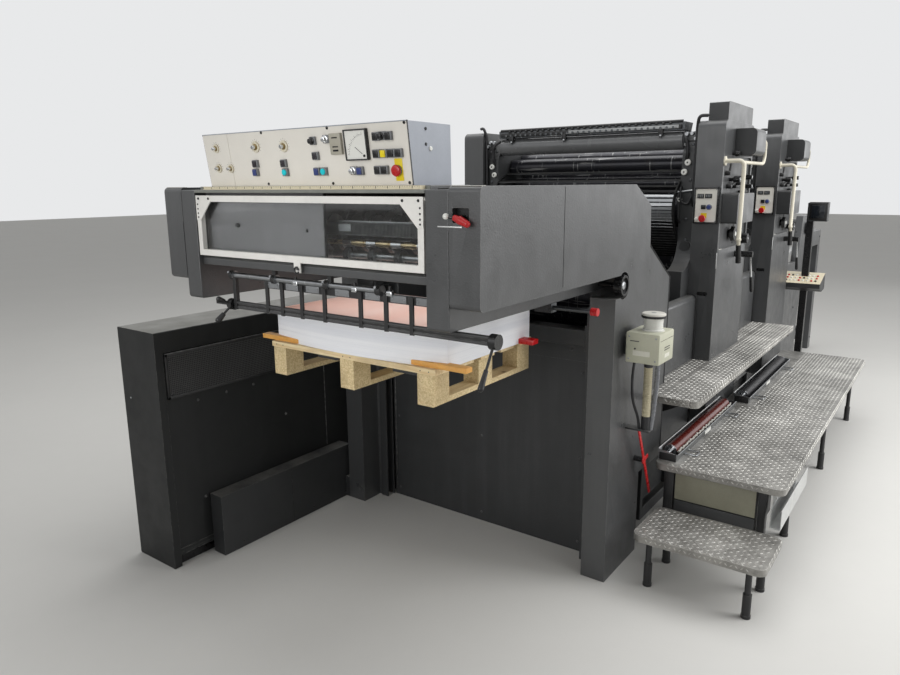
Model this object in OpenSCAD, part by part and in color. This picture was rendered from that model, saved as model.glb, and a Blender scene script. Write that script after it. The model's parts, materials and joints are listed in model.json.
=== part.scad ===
// Sheet-fed offset printing press with two printing units.
// X runs across the machine (+X is the operator side), Y runs from the delivery
// (-Y) to the feeder (+Y), Z is up. The origin lies on the floor, on the centre
// line, half way between the two printing units.

/* [Printing units] */
// Distance from one printing unit to the next
unit_pitch = 1350; // [1250:10:1500]
// Depth of a side tower along the machine
tower_depth = 600; // [540:10:680]
// Width of a side tower across the machine
tower_w = 145; // [130:5:190]
// Height of the side towers above the floor
tower_h = 2085; // [2000:5:2200]
// Height at which the tower covers start
tower_foot = 400; // [300:10:500]
// Depth of the recess in the operator side of a tower
recess_d = 12; // [6:1:25]
// Clear width between the cast side frames
clear_w = 1200; // [1160:10:1300]
// Thickness of a cast side frame
frame_t = 90; // [70:5:120]
// Height of the bed that carries the units
bed_h = 800; // [740:10:860]
// Height of the flat covers between the towers
skirt_h = 1145; // [1100:5:1180]
// Thickness of the flat covers between the towers
skirt_t = 50; // [40:5:70]

/* [Rollers and cylinders] */
// Diameter of the plate and blanket cylinders
cylinder_d = 270; // [240:5:290]
// Diameter of the impression cylinder
impression_d = 400; // [360:5:440]
// Diameter of the inking rollers
ink_roller_d = 80; // [60:2:90]
// Diameter of the bright guard tube under the ink fountain
guard_tube_d = 100; // [70:2:120]
// Diameter of the roller journals
journal_d = 40; // [30:2:50]
// Number of slats in a curved slat guard
slat_count = 25; // [18:1:28]
// Height of one slat
slat_h = 15; // [10:1:17]
// Thickness of one slat
slat_t = 6; // [4:1:8]

/* [Delivery] */
// Distance from the front of the delivery to the front of the first unit
delivery_reach = 2250; // [2150:10:2400]
// Clear width between the delivery side frames
delivery_clear_w = 1162; // [1140:2:1200]
// Thickness of a delivery side frame
arm_t = 89; // [70:1:110]
// Thickness of the outer side cover
cover_t = 114; // [90:2:130]
// Height of the top of the side covers
cover_top = 1755; // [1700:5:1800]
// Height of the lower edge of the side covers
cover_bottom = 1385; // [1350:5:1420]
// Height of the lower end of the front posts
post_bottom = 1310; // [1280:5:1340]
// Distance from the delivery front to the column
column_y = 1010; // [960:5:1060]
// Depth of the column along the machine
column_depth = 365; // [320:5:380]
// Height of the column in front of the handwheel
column_top = 1290; // [1260:5:1300]
// Distance from the delivery front to the back panel
back_panel_y = 1200; // [1180:5:1230]
// Height of the back panel
back_panel_h = 955; // [900:5:1000]
// Thickness of plain sheet panels
sheet_t = 20; // [10:1:25]
// Width of a guide channel beside the back panel
channel_w = 48; // [40:1:48]
// Depth of a guide channel along the machine
channel_d = 60; // [56:2:90]
// Diameter of the handwheel
wheel_d = 88; // [80:2:110]
// Width of the handwheel rim
wheel_w = 36; // [24:2:50]

/* [Front guard and console] */
// Height of the lower edge of the hinged front guard
guard_bottom = 1489; // [1470:1:1520]
// Height of the upper edge of the hinged front guard
guard_top = 1724; // [1700:1:1730]
// Width of the guard's edge profile
guard_rim = 24; // [16:1:34]
// Thickness of the guard frame
guard_t = 20; // [14:1:26]
// Thickness of the clear pane
pane_t = 5; // [3:1:6]
// Width of the control console
console_w = 1016; // [960:4:1060]
// Height of the control console
console_h = 194; // [170:2:220]
// Depth of the control console at its top
console_d = 228; // [200:2:260]
// How far the console's face leans forward
console_lean = 27; // [10:1:40]
// Thickness of the console's face plate
face_t = 6; // [4:1:10]

/* [Pile] */
// Width of the paper pile
pile_w = 920; // [860:10:960]
// Depth of the paper pile
pile_d = 640; // [600:10:660]
// Height of the paper pile
pile_h = 137; // [100:1:200]
// How far the front of the pile bulges
pile_bulge = 45; // [20:5:60]
// Height of the pallet's underside above the floor
pallet_z = 957; // [940:1:980]
// Width of the pallet
pallet_w = 890; // [880:10:960]
// Depth of the pallet
pallet_d = 700; // [660:10:720]
// Height of the pallet's blocks
block_h = 100; // [80:1:110]
// Width of the pallet's blocks and skids
block_w = 75; // [60:1:90]
// Thickness of the pallet's boards
board_t = 22; // [16:1:24]
// Height of a lifting fork
fork_h = 40; // [30:2:44]

/* [Operator side] */
// Height of the lower platform
platform_h = 450; // [420:5:480]
// Width of the lower platform
platform_w = 585; // [540:5:650]
// Length of the lower platform
platform_len = 2860; // [2700:10:3000]
// Height of the upper platform
walk_h = 780; // [740:5:800]
// Width of the upper platform
walk_w = 190; // [160:5:220]
// Length of the upper platform
walk_len = 2170; // [2000:10:2300]
// Depth of the turned-down edge of a platform
lip_h = 32; // [26:1:44]
// Thickness of the chequer plate
plate_t = 5; // [4:1:8]
// Radius of a platform's corners
corner_r = 45; // [20:5:80]
// Height of the step stool
stool_h = 250; // [220:5:280]
// Width of the step stool
stool_w = 560; // [500:10:600]
// Depth of the step stool
stool_d = 335; // [300:5:340]
// Diameter of a stool or platform leg
leg_d = 26; // [20:1:32]
// Diameter of an adjustable foot
foot_d = 36; // [32:1:46]

/* [Drive-side cabinet] */
// Width of the cabinet
cabinet_w = 289; // [260:1:320]
// Length of the cabinet
cabinet_len = 1230; // [1100:10:1280]
// Height of the cabinet
cabinet_h = 1133; // [1080:1:1180]
// Gap between the cabinet and the delivery's side cover
cabinet_gap = 112; // [96:2:130]

/* [Feeder] */
// Length of the feed board section
feed_len = 950; // [850:10:1000]
// Length of the feeder's pile section
feeder_len = 1000; // [950:10:1100]
// Height of the feed board at the printing unit
feed_h = 1000; // [960:10:1040]
// Height of the feeder's side frames
feeder_h = 1450; // [1350:10:1550]
// Thickness of a feeder side frame
feeder_t = 60; // [40:5:80]

/* [Hidden] */
$fn = 48;
fit = 0.3;

frame_x0 = clear_w / 2;
tower_x0 = frame_x0 + frame_t;
tower_x1 = tower_x0 + tower_w;
skirt_x1 = tower_x0 + skirt_t;
unit_ys = [-unit_pitch / 2, unit_pitch / 2];
tower_half = tower_depth / 2;

delivery_y = unit_ys[0] - tower_half - delivery_reach;
arm_x0 = delivery_clear_w / 2;
arm_x1 = arm_x0 + arm_t;
cover_x1 = arm_x1 + cover_t;
column_y0 = delivery_y + column_y;
column_y1 = column_y0 + column_depth;
arm_top = cover_top - 10;
arm_flat = 1170;
arm_end = 1345;
arm_drop = 90;
tail_len = 1680;
tail_y1 = delivery_y + tail_len;
tail_top = 1335;

bed_y0 = tail_y1;
bed_y1 = unit_ys[1] + tower_half + 525;

paint = "#54575a";
dark_paint = "#3a3d3f";
bright = "#c8cacc";
black = "#1e1f20";
cream = "#e2dec9";
timber = "#cfae74";

// A box given by its lowest and highest corner
module block(p0, p1) {
  translate(p0) cube([p1[0] - p0[0], p1[1] - p0[1], p1[2] - p0[2]]);
}

// Extrudes a side-view outline (y, z) across the machine
module side_view(x0, x1) {
  translate([x0, 0, 0]) rotate([90, 0, 90]) linear_extrude(x1 - x0) children();
}

// Extrudes a front-view outline (x, z) along the machine
module front_view(y0, y1) {
  translate([0, y1, 0]) rotate([90, 0, 0]) linear_extrude(y1 - y0) children();
}

// Extrudes a plan outline (x, y) upwards
module plan_view(z0, z1) {
  translate([0, 0, z0]) linear_extrude(z1 - z0) children();
}

module both_sides() {
  children();
  mirror([1, 0, 0]) children();
}

// A rectangle with four rounded corners
module round_rect(a0, b0, a1, b1, r) {
  translate([a0 + r, b0]) square([a1 - a0 - 2 * r, b1 - b0]);
  translate([a0, b0 + r]) square([a1 - a0, b1 - b0 - 2 * r]);
  for (a = [a0 + r, a1 - r], b = [b0 + r, b1 - r]) translate([a, b]) circle(r);
}

// A rectangle whose two upper corners are rounded
module dome_rect(a0, b0, a1, b1, r) {
  translate([a0, b0]) square([a1 - a0, b1 - b0 - r]);
  translate([a0 + r, b0]) square([a1 - a0 - 2 * r, b1 - b0]);
  for (a = [a0 + r, a1 - r]) translate([a, b1 - r]) circle(r);
}

// A round bar along X, Y or Z that starts at p
module bar_x(p, len, d) { translate(p) rotate([0, 90, 0]) cylinder(h = len, d = d); }
module bar_y(p, len, d) { translate(p) rotate([-90, 0, 0]) cylinder(h = len, d = d); }
module bar_z(p, len, d) { translate(p) cylinder(h = len, d = d); }

// Points of an arc in a plane
function arc(cx, cy, r, a0, a1, n) =
  [for (i = [0:n]) [cx + r * cos(a0 + (a1 - a0) * i / n), cy + r * sin(a0 + (a1 - a0) * i / n)]];

// Bed: cast side walls with flanges and ribs, closed ends
bed_flange = 60;
bed_wall_in = 40;
rib_pitch = 430;
rib_t = 40;
module machine_bed() {
  color(dark_paint) {
    front_view(bed_y0, bed_y1) polygon([
      [-tower_x0, 0], [tower_x0, 0], [tower_x0, bed_flange],
      [tower_x0 - bed_wall_in, bed_flange], [tower_x0 - bed_wall_in, bed_h - bed_flange],
      [tower_x0, bed_h - bed_flange], [tower_x0, bed_h], [-tower_x0, bed_h],
      [-tower_x0, bed_h - bed_flange], [-tower_x0 + bed_wall_in, bed_h - bed_flange],
      [-tower_x0 + bed_wall_in, bed_flange], [-tower_x0, bed_flange]
    ]);
    for (y = [bed_y0 : rib_pitch : bed_y1 - rib_t]) both_sides()
      block([tower_x0 - bed_wall_in - 1, y, bed_flange - 1], [tower_x0, y + rib_t, bed_h - bed_flange + 1]);
  }
}

// Cast side frame of a unit: the front edge flares out to the bed in a curve
flare_r = 170;
flare_z = skirt_h + 140;
frame_top = tower_h - 45;
frame_front = tower_half - 45;
module unit_frame_outline() {
  polygon(concat(
    [[-frame_front - flare_r, bed_h]],
    arc(-frame_front - flare_r, flare_z + flare_r, flare_r, -90, 0, 12),
    [[-frame_front, frame_top - 120], [-frame_front + 90, frame_top]],
    [[frame_front - 60, frame_top], [frame_front, frame_top - 80]],
    [[frame_front, flare_z - 30], [frame_front + 80, flare_z - 130], [frame_front + 80, bed_h]]
  ));
}
boss_d = 58;
boss_out = 16;
boss_z = 1412;
module unit_side_frames() {
  color(dark_paint) for (y = unit_ys) translate([0, y, 0]) both_sides() {
    side_view(frame_x0, tower_x0) unit_frame_outline();
    bar_y([frame_x0 + frame_t / 2, -frame_front - boss_out, boss_z], boss_out + 2, boss_d);
  }
}

// Covers along the bed with a rounded upper edge
skirt_r = 25;
skirt_gap = 3;
skirt_z0 = tower_foot;
module skirt_outline() {
  translate([tower_x0, skirt_z0]) square([skirt_t, skirt_h - skirt_z0 - skirt_r]);
  translate([tower_x0, skirt_z0]) square([skirt_t - skirt_r, skirt_h - skirt_z0]);
  translate([skirt_x1 - skirt_r, skirt_h - skirt_r]) circle(skirt_r);
}
// Sloping cover behind the delivery column
slope_top = 1490;
slope_x1 = cover_x1 - 4;
module sloping_cover() {
  side_view(arm_x1, slope_x1) polygon([
    [column_y1 + skirt_gap, slope_top], [tail_y1 - 10, tail_top - 20],
    [tail_y1 - 10, skirt_z0], [column_y1 + skirt_gap, skirt_z0]
  ]);
}
module bed_side_covers() {
  color(paint) both_sides() {
    sloping_cover();
    front_view(bed_y0 + skirt_gap, unit_ys[0] - tower_half - skirt_gap) skirt_outline();
    front_view(unit_ys[0] + tower_half + skirt_gap, unit_ys[1] - tower_half - skirt_gap) skirt_outline();
    front_view(unit_ys[1] + tower_half + skirt_gap, bed_y1) skirt_outline();
  }
}

// Side tower: closed housing with rounded upper edges; the operator side has a
// recess for the adjusting knobs and a hand slot low on its front
tower_r = 40;
recess_z0 = 1400;
recess_z1 = 1900;
recess_half = tower_half - 20;
slot_x = tower_x0 + 50;
slot_w = 58;
slot_z0 = 1144;
slot_z1 = 1166;
module tower_body() {
  side_view(tower_x0, tower_x1)
    dome_rect(-tower_half, tower_foot, tower_half, tower_h, tower_r);
}
module operator_tower() {
  difference() {
    tower_body();
    side_view(tower_x1 - recess_d, tower_x1 + 1)
      round_rect(-recess_half, recess_z0, recess_half, recess_z1, 20);
    translate([0, -tower_half - 1, 0]) front_view(0, 16)
      round_rect(slot_x, slot_z0, slot_x + slot_w, slot_z1, 10);
  }
}
module towers() {
  color(paint) {
    operator_tower();
    mirror([1, 0, 0]) tower_body();
  }
}
module unit_1_towers() { translate([0, unit_ys[0], 0]) towers(); }
module unit_2_towers() { translate([0, unit_ys[1], 0]) towers(); }

// Boxes bolted on a tower: one on top, a rounded drive box and a knob box
top_box_h = 95;
drive_box_out = 112;
drive_box_y0 = -100;
drive_box_y1 = 108;
drive_box_h = 148;
side_box_out = 84;
side_box_y1 = 62;
side_box_z0 = 1542;
side_box_z1 = 1702;
module boxes() {
  side_view(tower_x0 + 40, tower_x1 - 2)
    dome_rect(-tower_half + tower_r, tower_h, tower_half - tower_r - 20, tower_h + top_box_h, 10);
  front_view(drive_box_y0, drive_box_y1) translate([tower_x1, 0]) difference() {
    round_rect(-30, recess_z1 + 4, drive_box_out, recess_z1 + drive_box_h, 28);
    translate([-40, recess_z1]) square([40, drive_box_h + 10]);
  }
  side_view(tower_x1 - recess_d, tower_x1 + side_box_out)
    round_rect(-recess_half + fit, side_box_z0, side_box_y1, side_box_z1, 12);
}
module tower_boxes() { color(paint) for (y = unit_ys) translate([0, y, 0]) boxes(); }

// Adjusting knobs on the operator side of each tower: those in the recess start
// at its back wall, the others at the tower's own wall
recess_knobs = [[-115, 1776, 34, 58], [107, 1789, 30, 66], [160, 1738, 26, 56], [-48, 1476, 86, 36], [145, 1438, 64, 60]];
wall_knobs = [[-132, 1914, 32, 38]];
module knob(x, k) {
  translate([x, k[0], k[1]]) {
    bar_x([0, 0, 0], k[3] * 0.45, k[2] * 0.55);
    translate([k[3] * 0.4, 0, 0]) rotate([0, 90, 0]) cylinder(h = k[3] * 0.6, d1 = k[2], d2 = k[2] * 0.88);
  }
}
module tower_knobs() {
  color(black) for (y = unit_ys) translate([0, y, 0]) {
    for (k = recess_knobs) knob(tower_x1 - recess_d, k);
    for (k = wall_knobs) knob(tower_x1, k);
  }
}

// Control panel on the front of each operator tower
panel_z0 = 1543;
panel_z1 = 1735;
panel_t = 18;
panel_in = 8;
module control_panel() {
  translate([0, -tower_half - panel_t, 0]) {
    difference() {
      front_view(0, panel_t)
        round_rect(tower_x0 + panel_in, panel_z0, tower_x1 - panel_in, panel_z1, 8);
      translate([0, -1, 0]) front_view(0, 5)
        round_rect(tower_x0 + panel_in + 7, panel_z0 + 7, tower_x1 - panel_in - 7, panel_z1 - 7, 5);
    }
    for (i = [0, 1], j = [0, 1])
      block([tower_x0 + 32 + 42 * i, -2, panel_z0 + 142 - 45 * j],
            [tower_x0 + 66 + 42 * i, 5, panel_z0 + 162 - 45 * j]);
    translate([tower_x0 + 62, 6, panel_z0 + 38]) rotate([90, 0, 0]) cylinder(h = 26, d1 = 34, d2 = 38);
    translate([tower_x0 + 28, 6, panel_z0 + 34]) rotate([90, 0, 0]) cylinder(h = 14, d = 18);
  }
}
module tower_control_panels() {
  color(cream) for (y = unit_ys) translate([0, y, 0]) control_panel();
}

// Grab rail: a bent tube that stands off the side of the tower and ends in a grip
rail_d = 22;
rail_out = 100;
rail_bend = 30;
rail_y = -tower_half + 25;
rail_z0 = 1460;
rail_z1 = 1872;
rail_kink = 14;
rail_grip_len = 100;
// A thinner tube branches off the bend, runs under the drive box and up behind it
branch_d = 18;
branch_x = tower_x1 + rail_out - rail_bend * (1 - cos(45));
branch_z = rail_z1 - rail_bend * (1 - sin(45));
branch_y = 200;
branch_r = 50;
branch_z1 = 2000;
module branch_tube() {
  bar_y([branch_x, rail_y, branch_z], branch_y - branch_r - rail_y, branch_d);
  translate([branch_x, branch_y - branch_r, branch_z + branch_r]) rotate([90, 0, 90]) rotate([0, 0, -90])
    rotate_extrude(angle = 90) translate([branch_r, 0]) circle(d = branch_d);
  bar_z([branch_x, branch_y, branch_z + branch_r], branch_z1 - branch_z - branch_r - rail_bend, branch_d);
  translate([branch_x - rail_bend, branch_y, branch_z1 - rail_bend]) rotate([90, 0, 0])
    rotate_extrude(angle = 90) translate([rail_bend, 0]) circle(d = branch_d);
  bar_x([tower_x1, branch_y, branch_z1], branch_x - rail_bend - tower_x1, branch_d);
  bar_x([tower_x1, branch_y, branch_z1], 6, 44);
}
module grab_rail() {
  bar_x([tower_x1, rail_y, rail_z1], 6, 50);
  bar_x([tower_x1, rail_y, rail_z1], rail_out - rail_bend, rail_d);
  translate([tower_x1 + rail_out - rail_bend, rail_y, rail_z1 - rail_bend]) rotate([90, 0, 0])
    rotate_extrude(angle = 90) translate([rail_bend, 0]) circle(d = rail_d);
  translate([tower_x1 + rail_out, rail_y, rail_z0]) {
    cylinder(h = rail_z1 - rail_z0 - rail_bend, d = rail_d);
    sphere(d = rail_d + 6);
    rotate([180 + rail_kink, 0, 0]) {
      cylinder(h = 40, d = rail_d - 2);
      translate([0, 0, 30]) cylinder(h = rail_grip_len, d1 = rail_d + 4, d2 = rail_d + 8);
    }
  }
}
module grab_rails() {
  color("#e8e6e0") for (y = unit_ys) translate([0, y, 0]) {
    grab_rail();
    branch_tube();
  }
}

// Hand lever on the side of a tower: hub, bent arm and grip
lever_y = 70;
lever_z = 1352;
lever_len = 150;
lever_tilt = 24;
hub_d = 36;
hub_len = 100;
grip_d = 22;
grip_len = 95;
module lever() {
  translate([tower_x1 + fit, lever_y, lever_z]) {
    bar_x([0, 0, 0], hub_len, hub_d);
    translate([hub_len - 14, 0, 0]) rotate([180 + lever_tilt, 0, 0]) {
      cylinder(h = lever_len + 5, d = 13);
      translate([0, 0, lever_len]) cylinder(h = grip_len, d1 = grip_d - 5, d2 = grip_d);
      translate([0, 0, lever_len + grip_len]) sphere(d = grip_d);
    }
  }
}
module unit_1_lever() { color(black) translate([0, unit_ys[0], 0]) lever(); }
module unit_2_lever() { color(black) translate([0, unit_ys[1], 0]) lever(); }

// Cylinders and rollers of a unit, each [y, z, diameter]
impression_z = bed_h + impression_d / 2 + 30;
blanket_z = impression_z + (impression_d + cylinder_d) / 2 + 2;
plate_y = 95;
plate_z = blanket_z + sqrt(pow(cylinder_d + 2, 2) - pow(plate_y, 2));
body_in = 8;
form_gap = ink_roller_d + 8;
function form_roller(a) = [
  plate_y + (cylinder_d / 2 + ink_roller_d / 2 + 2) * cos(a),
  plate_z + (cylinder_d / 2 + ink_roller_d / 2 + 2) * sin(a),
  ink_roller_d
];
roller_set = [
  [0, impression_z, impression_d],
  [0, blanket_z, cylinder_d],
  [plate_y, plate_z, cylinder_d],
  form_roller(55), form_roller(92), form_roller(129),
  [plate_y - 160, plate_z + 245, ink_roller_d + 20],
  [plate_y - 30, plate_z + 290, ink_roller_d],
  [plate_y + 85, plate_z + 262, ink_roller_d + 20]
];
guard_tube_y = -frame_front + 50;
guard_tube_z = tower_h - 95;
module unit_rollers() {
  for (r = roller_set) translate([0, r[0], r[1]]) {
    bar_x([-frame_x0 + body_in, 0, 0], clear_w - 2 * body_in, r[2]);
    bar_x([-frame_x0, 0, 0], clear_w, min(journal_d, r[2] / 2));
  }
  translate([0, guard_tube_y, guard_tube_z]) {
    bar_x([-frame_x0 + body_in, 0, 0], clear_w - 2 * body_in, guard_tube_d);
    bar_x([-frame_x0, 0, 0], clear_w, journal_d);
  }
}
module unit_1_rollers() { color(bright) translate([0, unit_ys[0], 0]) unit_rollers(); }
module unit_2_rollers() { color(bright) translate([0, unit_ys[1], 0]) unit_rollers(); }

// Ink fountain: an open trough between two cheeks, with a row of ink keys
fountain_y0 = -frame_front + 10;
fountain_y1 = fountain_y0 + 130;
fountain_z0 = guard_tube_z + guard_tube_d / 2 + 6;
fountain_z1 = tower_h + 5;
trough_t = 8;
cheek_foot = 46;
key_pitch = 36;
module ink_fountain() {
  side_view(-frame_x0 + 30, frame_x0 - 30) polygon([
    [fountain_y0, fountain_z0], [fountain_y0, fountain_z1],
    [fountain_y0 + 12, fountain_z1], [fountain_y0 + 22, fountain_z0 + 22],
    [fountain_y1 - 20, fountain_z0 + 14], [fountain_y1, fountain_z1],
    [fountain_y1 + trough_t, fountain_z1], [fountain_y1 - 14, fountain_z0]
  ]);
  both_sides() side_view(frame_x0 - 30, frame_x0) polygon([
    [fountain_y0, fountain_z0], [fountain_y0, fountain_z1],
    [fountain_y1 + trough_t, fountain_z1], [fountain_y1 - 14, fountain_z0],
    [fountain_y1 - 14, fountain_z0 - cheek_foot], [fountain_y1 - 40, fountain_z0 - cheek_foot],
    [fountain_y1 - 40, fountain_z0]
  ]);
  for (x = [-540 : key_pitch : 540])
    bar_y([x, fountain_y0 - 18, fountain_z0 + 14], 19, 14);
}
module ink_fountains() { color("#8e9092") for (y = unit_ys) translate([0, y, 0]) ink_fountain(); }

// Slat guard: level slats on a curve that bulges towards the delivery
slat_top = guard_tube_z - 165;
slat_low = flare_z + 60;
slat_bulge = 215;
function slat_y(t) = -frame_front + 110 - slat_bulge * sin(180 * pow(max(t, 0), 0.8));
cheek_t = 7;
cheek_n = 16;
function slat_z(t) = slat_top - t * (slat_top - slat_low);
module slat_cheek() {
  polygon(concat(
    [for (i = [0 : cheek_n]) [slat_y(i / cheek_n) - slat_t, slat_z(i / cheek_n)]],
    [for (i = [cheek_n : -1 : 0]) [slat_y(i / cheek_n) + 22, slat_z(i / cheek_n)]]
  ));
}
module slat_guard() {
  both_sides() side_view(frame_x0 - cheek_t, frame_x0) slat_cheek();
  for (i = [0 : slat_count - 1]) {
    t = pow(i / (slat_count - 1), 0.7);
    lean = atan2(slat_y(t + 0.02) - slat_y(t - 0.02), 0.04 * (slat_top - slat_low));
    translate([0, slat_y(t), slat_z(t)]) rotate([lean, 0, 0])
      block([-frame_x0 + 1, -slat_t / 2, -slat_h / 2], [frame_x0 - 1, slat_t / 2, slat_h / 2]);
  }
}
module slat_guards() { color(black) for (y = unit_ys) translate([0, y, 0]) slat_guard(); }

// Guard on the feeder side of a unit, with level stiffening ribs
guard_sheet = 8;
rear_y = frame_front - guard_sheet - 2;
rear_z0 = flare_z - 120;
rear_z1 = frame_top - 90;
module rear_guard() {
  side_view(-frame_x0, frame_x0) {
    translate([rear_y, rear_z0]) square([guard_sheet, rear_z1 - rear_z0]);
    for (z = [rear_z0 : 180 : rear_z1 - 20]) translate([rear_y + guard_sheet - 1, z]) square([15, 20]);
  }
}
// Covers over the sheet path: delivery to unit 1, between the units, and to the feeder
cover_z = flare_z - 150;
module path_cover(y0, z0, y1, z1) {
  side_view(-frame_x0, frame_x0) polygon([[y0, z0 - guard_sheet], [y0, z0], [y1, z1], [y1, z1 - guard_sheet]]);
}
module unit_guards() {
  color(paint) {
    for (y = unit_ys) translate([0, y, 0]) rear_guard();
    path_cover(bed_y0 + 1, tail_top - 30, unit_ys[0] - frame_front - 20, cover_z + 120);
    path_cover(unit_ys[0] + frame_front, cover_z, unit_ys[1] - frame_front - 20, cover_z + 60);
    path_cover(unit_ys[1] + frame_front, cover_z, unit_ys[1] + frame_front + 76, cover_z);
  }
}

// Delivery side frame: an arm that carries the front, and a leg to the bed
arm_slope_z = 1505;
leg_y0 = 1240;
leg_haunch = 80;
module arm_outline() {
  translate([delivery_y, 0]) polygon([
    [0, post_bottom + 8], [0, arm_top], [arm_flat, arm_top], [arm_end, arm_top - arm_drop],
    [arm_end, arm_slope_z], [tail_len, tail_top], [tail_len, 0], [leg_y0, 0],
    [leg_y0, post_bottom - leg_haunch], [leg_y0 - leg_haunch, post_bottom], [8, post_bottom]
  ]);
}
module delivery_side_frames() {
  color(dark_paint) both_sides() side_view(arm_x0, arm_x1) arm_outline();
}

// Side cover: one panel that wraps the arm and runs down the column, with an
// arch cut for the handwheel and a hand recess in its front
wheel_y = delivery_y + 1091;
wheel_z = 1339;
arch_r = wheel_d / 2 + 14;
column_x0 = 650;
cover_r = 18;
hand_recess = [14, 1648, 74, 1692];
module cover_outline() {
  difference() {
    polygon([
      [delivery_y, cover_bottom + cover_r], [delivery_y, cover_top - cover_r],
      [delivery_y + cover_r, cover_top], [delivery_y + arm_flat + 10, cover_top],
      [delivery_y + arm_end + 15, cover_top - arm_drop], [column_y1, arm_slope_z - 5], [column_y1, 0],
      [column_y0, 0], [column_y0, column_top], [wheel_y, column_top],
      [wheel_y, cover_bottom], [delivery_y + cover_r, cover_bottom]
    ]);
    translate([wheel_y, wheel_z]) circle(arch_r);
  }
  for (z = [cover_bottom + cover_r, cover_top - cover_r])
    translate([delivery_y + cover_r, z]) circle(cover_r);
}
module side_cover() {
  side_view(arm_x1, cover_x1) cover_outline();
  block([column_x0, channel_y0 + 8, 0], [arm_x1 + 1, delivery_y + back_panel_y - 6, column_top - 20]);
}
module delivery_side_covers() {
  color(paint) {
    difference() {
      side_cover();
      translate([0, delivery_y - 1, 0]) front_view(0, 26)
        round_rect(arm_x1 + hand_recess[0], hand_recess[1], arm_x1 + hand_recess[2], hand_recess[3], 4);
    }
    mirror([1, 0, 0]) side_cover();
  }
}

// Back panel under the delivery, standing on the floor
module delivery_back_panel() {
  color(dark_paint) {
    block([-column_x0 + 54, delivery_y + back_panel_y, 0],
          [column_x0 - 54, delivery_y + back_panel_y + sheet_t, back_panel_h]);
    for (z = [60, back_panel_h - 60])
      front_view(delivery_y + back_panel_y + sheet_t - 1, delivery_y + back_panel_y + sheet_t + 30)
        translate([-500, z - 20]) square([1000, 40]);
  }
}

// Guide channels for the pile lift, joined by a cross beam
channel_y1 = delivery_y + back_panel_y - 6;
channel_y0 = channel_y1 - channel_d;
channel_x0 = column_x0 - channel_w;
channel_t = 6;
channel_top = post_bottom - 85;
beam_h = 105;
beam_z0 = back_panel_h;
beam_z1 = beam_z0 + beam_h;
module guide_channel() {
  plan_view(0, channel_top) polygon([
    [channel_x0, channel_y0], [column_x0, channel_y0], [column_x0, channel_y1],
    [channel_x0, channel_y1], [channel_x0, channel_y1 - channel_t],
    [column_x0 - channel_t, channel_y1 - channel_t],
    [column_x0 - channel_t, channel_y0 + channel_t], [channel_x0, channel_y0 + channel_t]
  ]);
}
module delivery_guide_frame() {
  color(dark_paint) {
    both_sides() guide_channel();
    difference() {
      block([-column_x0, channel_y1 + fit, beam_z0],
            [column_x0, delivery_y + back_panel_y + sheet_t, beam_z1]);
      block([-arm_x0, channel_y1 + 6, beam_z0 + 6],
            [arm_x0, delivery_y + back_panel_y + sheet_t + 1, beam_z1 - 6]);
    }
  }
}

// Roof of the delivery: sheet panels that follow the arms
roof_y0 = delivery_y + 250;
roof_t = 14;
module delivery_roof() {
  color(dark_paint) side_view(-arm_x0, arm_x0) polygon([
    [roof_y0, arm_top], [delivery_y + arm_flat, arm_top], [delivery_y + arm_end, arm_top - arm_drop],
    [delivery_y + arm_end, arm_slope_z], [tail_y1, tail_top], [tail_y1, tail_top - roof_t],
    [delivery_y + arm_end - roof_t, arm_slope_z - roof_t / 2],
    [delivery_y + arm_end - roof_t, arm_top - arm_drop - roof_t / 2],
    [delivery_y + arm_flat - 5, arm_top - roof_t], [roof_y0, arm_top - roof_t]
  ]);
}

// Front rail: a box section under the console, with a step for the ruler; an
// apron below the guard; a sheet between them that closes the left part
rail_front_z0 = guard_top + 10;
ruler_h = 12;
ruler_d = 30;
apron_z0 = guard_bottom - 39;
apron_z1 = guard_bottom - 5;
apron_y0 = delivery_y + 18;
apron_y1 = delivery_y + 75;
inner_sheet_x1 = 92;
inner_sheet_y = delivery_y + 52;
inner_sheet_t = 6;
module delivery_front_rail() {
  color(dark_paint) side_view(-arm_x0, arm_x0) difference() {
    translate([delivery_y, rail_front_z0]) square([roof_y0 - delivery_y, cover_top + 3 - rail_front_z0]);
    translate([delivery_y - 1, cover_top + 3 - ruler_h]) square([ruler_d + 1, ruler_h + 1]);
    translate([delivery_y + 70, rail_front_z0 - 1]) square([120, 13]);
  }
  color(dark_paint) side_view(-arm_x0, arm_x0) polygon([
    [apron_y0, apron_z0], [apron_y0, apron_z1 - 8], [apron_y0 + 10, apron_z1],
    [apron_y1, apron_z1], [apron_y1, apron_z0]
  ]);
  color(dark_paint) block([-arm_x0, inner_sheet_y, apron_z1 - 1],
                          [inner_sheet_x1, inner_sheet_y + inner_sheet_t, rail_front_z0 + 1]);
}
module ruler_strip() {
  color(cream) block([-arm_x0 + 60, delivery_y + 2, cover_top + 3 - ruler_h],
                     [arm_x0 - 20, delivery_y + ruler_d, cover_top + 3]);
}

// Console: a closed housing whose face leans forward over the ruler
console_z0 = cover_top + 3;
console_z1 = console_z0 + console_h;
console_y0 = delivery_y + 8;
console_y1 = console_y0 + console_d;
console_angle = atan2(console_lean, console_h);
module console_side(in) {
  polygon([
    [console_y0 + face_t + console_lean, console_z0], [console_y1 + 6, console_z0],
    [console_y1, console_z1 - in], [console_y0 + face_t, console_z1 - in]
  ]);
}
module control_console() {
  color("#b9bcc0") {
    side_view(-console_w / 2, console_w / 2) console_side(0);
  }
}
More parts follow.
